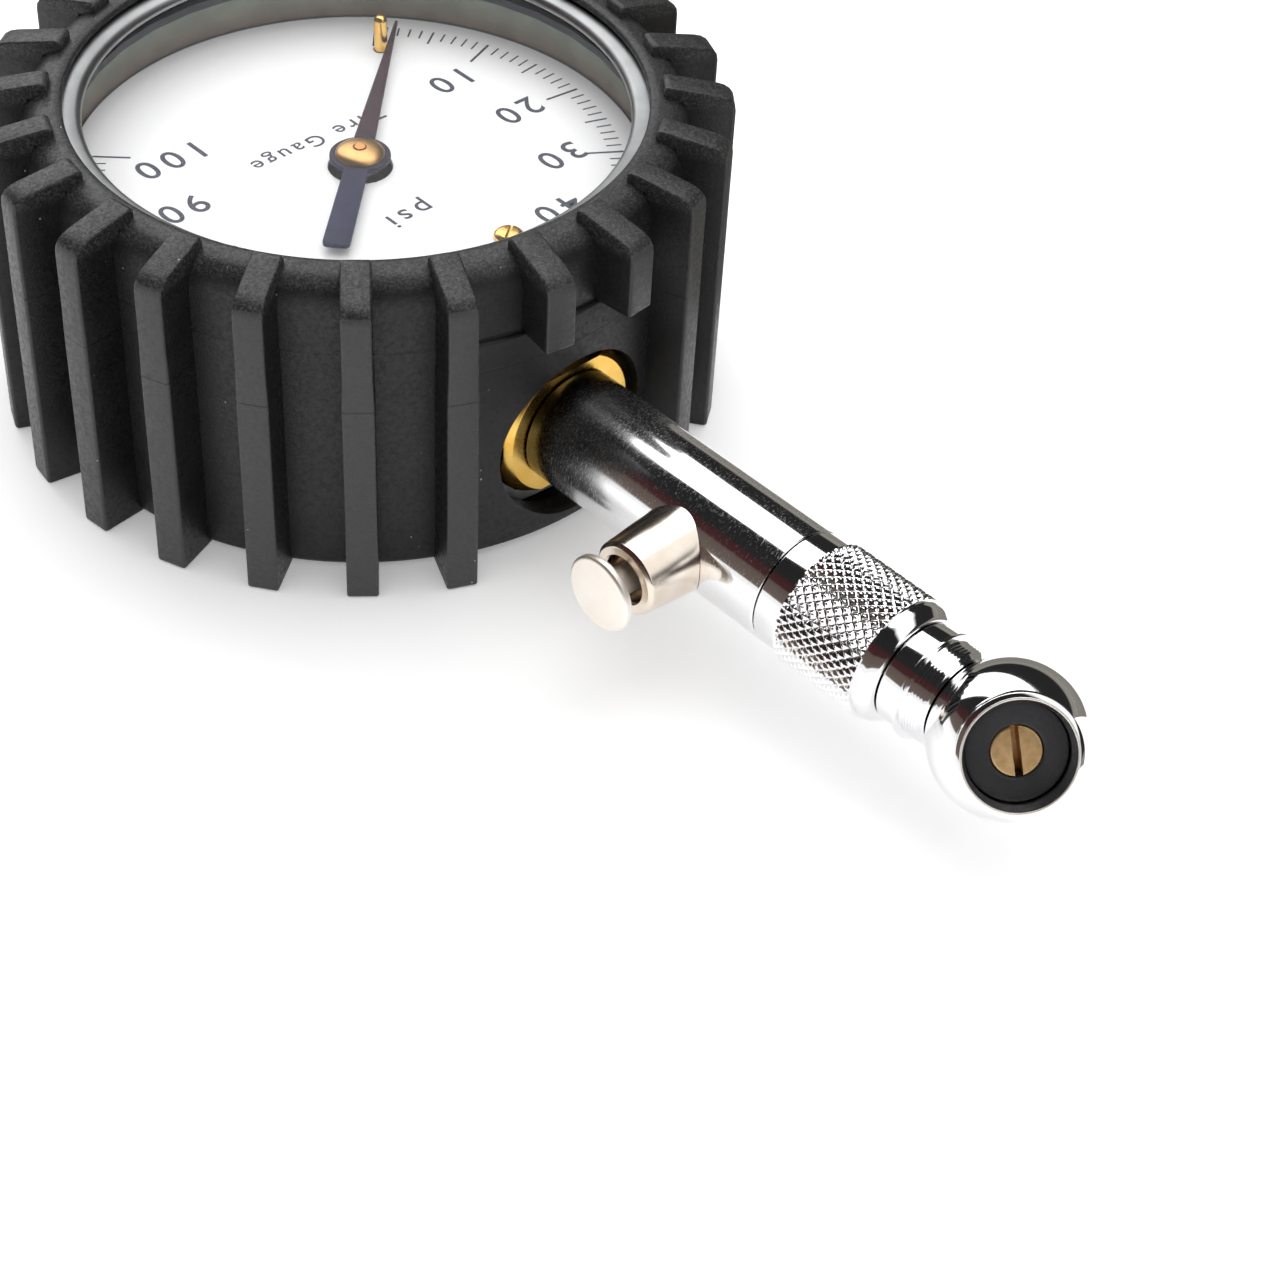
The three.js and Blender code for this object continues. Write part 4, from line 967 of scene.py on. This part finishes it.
class GAUGE_OT_chuck(bpy.types.Operator):
    """The swivelling chuck: its shank, ball and cup, rubber seal and brass core"""
    bl_idname = "gauge.chuck"
    bl_label = "Chuck"

    def execute(self, context):
        settings = context.scene.gauge_chuck
        chrome = chrome_finish(context.scene, "chuck chrome")
        grooves = []
        for index in range(4):
            at = 86.85 + 0.38 * index
            grooves += [(5.2, at, 0), (5.02, at + 0.1, 0), (5.02, at + 0.18, 0), (5.2, at + 0.28, 0)]
        shank = along_stem([
            (1.4, 75.7), (4.1, 75.7), (4.4, 76), (4.4, 77.3), (3.5, 77.3), (3.5, 78.5), (4.4, 78.5),
            (4.4, 80.0), (3.8, 80.0), (3.8, 81.0), (4.4, 81.0), (4.4, 83.45), (5.3, 83.45), (5.4, 83.6),
            (5.4, 85.75, 0.05), (5.15, 85.85, 0), (5.15, 86.0, 0), (5.82, 86.02, 0.04), (5.85, 86.36, 0.04),
            (5.2, 86.42, 0.03),
            *grooves, (5.2, 88.4, 0), (4.6, 88.7), (4.6, 88.9), (3.3, 88.9), (3.3, 91.6), (1.4, 91.6),
        ])
        piece("shank", shank, chrome, "chuck", ["chuck_shank"])

        to_ball = Matrix.Translation((0, BALL_CENTRE_Y, 0))
        radius, back, front, steps = 7.8, -6.2, 5.2, 48
        ball_arc = []
        low, high = math.asin(back / radius), math.asin(front / radius)
        for step in range(steps + 1):
            angle = low + (high - low) * step / steps
            rim = 0.25 if step in (0, steps) else 0
            ball_arc.append((radius * math.cos(angle), radius * math.sin(angle), rim))
        ball = moved(along_stem([(0, back), *ball_arc, (0, front)]), to_ball)
        turn = Matrix.Rotation(-settings.turn, 4, "Y") @ Matrix.Rotation(-settings.tilt, 4, "Z")
        axis = (turn @ Vector((0, 1, 0, 0))).to_3d()
        level = Vector((0, 0, 1)).cross(axis).normalized()
        facing = Matrix((level, axis.cross(level), axis)).transposed().to_4x4()
        to_cup = Matrix.Translation((0, BALL_CENTRE_Y, STEM_Z)) @ facing

        def along_cup(profile, sides=STEM_SIDES, **shaping):
            return moved(lathe(profile, sides, **shaping), to_cup)

        cup = along_cup([(0, 0), (6, 0), (6, 5.86, 0.08), (5.57, 6.04, 0.04), (0, 6.04)])
        whole = combined("UNION", ball, cup)
        pocket = along_cup([
            (0, 0.9), (4.95, 0.9), (4.95, 4.9, 0.1), (5.3, 5.9, 0.1), (5.3, 8.8), (0, 8.8),
        ])
        drain = along_cup(rod(1.2, -0.5, 1.4), 48, fillet=0)
        shank_bore = moved(along_stem(rod(3.6, -8.5, -3.5), 96, fillet=0), to_ball)
        cross_bore = moved(along_stem(rod(1.2, -4.7, 0.3), 48, fillet=0), to_ball)
        whole = combined("DIFFERENCE", whole, pocket, drain, shank_bore, cross_bore)
        piece("ball", whole, chrome, "chuck", ["chuck_ball"], sharp=28)
        lip = along_cup([(5.28, 5.6), (5.6, 5.6), (5.6, 6.04, 0.06), (5.5, 6.1, 0.05), (5.36, 6.08, 0.06)])
        sheen_and_wear = turned_metal("worn lip", "chrome", ((1.0, 0.98, 0.94), (0.95, 0.91, 0.86)), 0.5, 1)
        piece("cup_lip", lip, sheen_and_wear, "chuck")

        seal = along_cup([
            (2.5, 1.2), (4.86, 1.2), (4.86, 4.2, 0.2), (4.6, 4.42, 0.2), (2.7, 4.4, 0.2), (2.5, 4.15, 0.1),
        ])
        black = rubber("seal rubber", "seal_rubber", tuple(settings.seal), 0.55, 0.35)
        piece("seal", seal, black, "chuck", ["chuck_seal"])
        core = lathe([(0, 1.2), (2.45, 1.2), (2.45, 4.1, 0.12), (2.3, 4.2, 0.08), (0, 4.2)], 128)
        slot = moved(box((-0.38, 0.38), (-3, 3), (1.9, 5.2)), Matrix.Rotation(math.radians(10), 4, "Z"))
        core = moved(combined("DIFFERENCE", core, slot), to_cup)
        gold = tuple(settings.core)
        brass = flat_metal("core brass", "brass", (gold, (0.74, 0.48, 0.22)), 0.45, 0.2, 0.01, 0.9)
        piece("core", core, brass, "chuck", ["chuck_core"])
        return {"FINISHED"}


class GAUGE_OT_studio(bpy.types.Operator):
    """The pale floor, the soft light and the camera"""
    bl_idname = "gauge.studio"
    bl_label = "Studio"

    def execute(self, context):
        settings = context.scene.gauge_studio
        self.lay_floor()
        self.hang_dome()
        self.lay_card()
        self.hang_softbox(settings)
        self.light_sky(context.scene, settings)
        self.place_camera(context.scene, settings)
        context.scene.view_settings.view_transform = "Standard"
        return {"FINISHED"}

    def lay_floor(self):
        shape = bmesh.new()
        bmesh.ops.create_grid(shape, x_segments=24, y_segments=24, size=2.2)
        paper = Finish("white paper", "dial_white", (0.9, 0.9, 0.9), 0.85, Specular_IOR_Level=0.2)
        paper.set("Base Color", paper.ramp(paper.noise(60.0, 3.0), (0.3, 0.89), (0.7, 0.91)))
        paper.set("Emission Color", (1, 1, 1, 1))
        paper.set("Emission Strength", 0.2)
        floor = placed("floor", shape, paper.material)
        floor.location.z = -0.02 * MM

    def hang_dome(self):
        """A room that only reflections see: bands of wall and lamp that run along the stem."""
        angles = [math.radians(3.0 * step) for step in range(30)]
        arc = [(math.cos(angle), math.sin(angle), 0) for angle in angles]
        shell = lathe([(0, 1), *reversed(arc), (0.99, 0, 0)], 96, fillet=0)
        made = Finish("room", "dial_white", (0, 0, 0), 1.0)
        split = made.node("ShaderNodeSeparateXYZ", {"Vector": made.place})
        angle = made.sum(split.outputs[2], split.outputs[0], "ARCTAN2")
        share = made.sum(angle, math.pi, "DIVIDE")
        bands = made.ramp(
            share, (0.0, 1.0), (0.04, 1.0), (0.05, (0.15, 0.115, 0.095)), (0.17, (0.11, 0.085, 0.075)),
            (0.185, (0.060, 0.022, 0.022)), (0.25, (0.050, 0.018, 0.019)), (0.28, 0.02), (0.46, 0.016),
            (0.50, 1.2), (0.70, 1.2), (0.735, 0.02), (0.935, 0.02), (0.95, (0.26, 0.25, 0.22)),
            (1.0, (0.28, 0.27, 0.24)),
        )
        made.glow(bands)
        room = placed("room", shell, made.material)
        room.scale = (1.6, 1.6, 1.6)
        self.only_reflected(room)

    def lay_card(self):
        """A grey card on the floor beyond the stem, which only reflections see."""
        shape = box((-1300, -42), (-1300, 1300), (0.2, 0.4))
        shape.transform(Matrix.Scale(MM, 4))
        made = Finish("grey card", "dial_white", (0, 0, 0), 1.0)
        tint = made.ramp(made.noise(200.0, 2.0), (0.3, (0.20, 0.19, 0.165)), (0.7, (0.26, 0.25, 0.22)))
        made.glow(tint)
        self.only_reflected(placed("card", shape, made.material))

    def only_reflected(self, obj):
        obj.visible_camera = False
        obj.visible_diffuse = False
        obj.visible_transmission = False
        obj.visible_shadow = False

    def hang_softbox(self, settings):
        direction = Vector((-0.275, -0.5, 0.821)).normalized()
        side = direction.cross(Vector((0, 1, 0))).normalized()
        lamp = bpy.data.lights.new("softbox", "AREA")
        lamp.shape = "RECTANGLE"
        lamp.size = 0.44
        lamp.size_y = 1.1
        lamp.energy = settings.key_light
        softbox = bpy.data.objects.new("softbox", lamp)
        bpy.context.scene.collection.objects.link(softbox)
        turn = Matrix((side, direction.cross(side), direction)).transposed()
        centre = Vector((0, 0.045, 0.015)) + direction * 0.55
        softbox.matrix_world = Matrix.Translation(centre) @ turn.to_4x4()

    def light_sky(self, scene, settings):
        world = bpy.data.worlds.new("sky")
        world.use_nodes = True
        background = world.node_tree.nodes["Background"]
        background.inputs["Color"].default_value = (1.0, 1.0, 1.0, 1)
        background.inputs["Strength"].default_value = settings.sky_light
        scene.world = world

    def place_camera(self, scene, settings):
        azimuth, elevation = settings.azimuth, settings.elevation
        back = Vector((
            math.cos(elevation) * math.cos(azimuth),
            math.cos(elevation) * math.sin(azimuth),
            math.sin(elevation),
        ))
        level = Vector((-math.sin(azimuth), math.cos(azimuth), 0))
        up = back.cross(level)
        right = math.cos(settings.roll) * level + math.sin(settings.roll) * up
        up = back.cross(right)
        target = Vector((7.415, 52.82, 0)) * MM
        lens = bpy.data.cameras.new("camera")
        lens.lens = settings.focal_length
        lens.sensor_width = 36
        lens.sensor_fit = "HORIZONTAL"
        lens.clip_start = 0.01
        lens.clip_end = 20
        camera = bpy.data.objects.new("camera", lens)
        scene.collection.objects.link(camera)
        turn = Matrix((right, up, back)).transposed().to_4x4()
        camera.matrix_world = Matrix.Translation(target + back * settings.distance) @ turn
        scene.camera = camera


PIECE_OPERATORS = (
    GAUGE_OT_boot, GAUGE_OT_case, GAUGE_OT_dial, GAUGE_OT_needle, GAUGE_OT_movement, GAUGE_OT_socket,
    GAUGE_OT_barrel, GAUGE_OT_bleeder, GAUGE_OT_nut, GAUGE_OT_chuck, GAUGE_OT_studio,
)


class GAUGE_PT_panel(bpy.types.Panel):
    """Lists the gauge's pieces and their settings"""
    bl_idname = "GAUGE_PT_panel"
    bl_label = "Tire Pressure Gauge"
    bl_space_type = "VIEW_3D"
    bl_region_type = "UI"
    bl_category = "Gauge"

    def draw(self, context):
        for operator in PIECE_OPERATORS:
            self.layout.operator(operator.bl_idname)
        for name, group in SETTINGS.items():
            column = self.layout.column(align=True)
            for setting in group.__annotations__:
                column.prop(getattr(context.scene, name), setting)


def register():
    for group in SETTINGS.values():
        bpy.utils.register_class(group)
    for name, group in SETTINGS.items():
        setattr(bpy.types.Scene, name, PointerProperty(type=group))
    for operator in PIECE_OPERATORS:
        bpy.utils.register_class(operator)
    bpy.utils.register_class(GAUGE_PT_panel)


def unregister():
    bpy.utils.unregister_class(GAUGE_PT_panel)
    for operator in reversed(PIECE_OPERATORS):
        bpy.utils.unregister_class(operator)
    for name in SETTINGS:
        delattr(bpy.types.Scene, name)
    for group in SETTINGS.values():
        bpy.utils.unregister_class(group)


def main():
    register()
    for operator in PIECE_OPERATORS:
        family, action = operator.bl_idname.split(".")
        getattr(getattr(bpy.ops, family), action)()


if __name__ == "__main__":
    main()
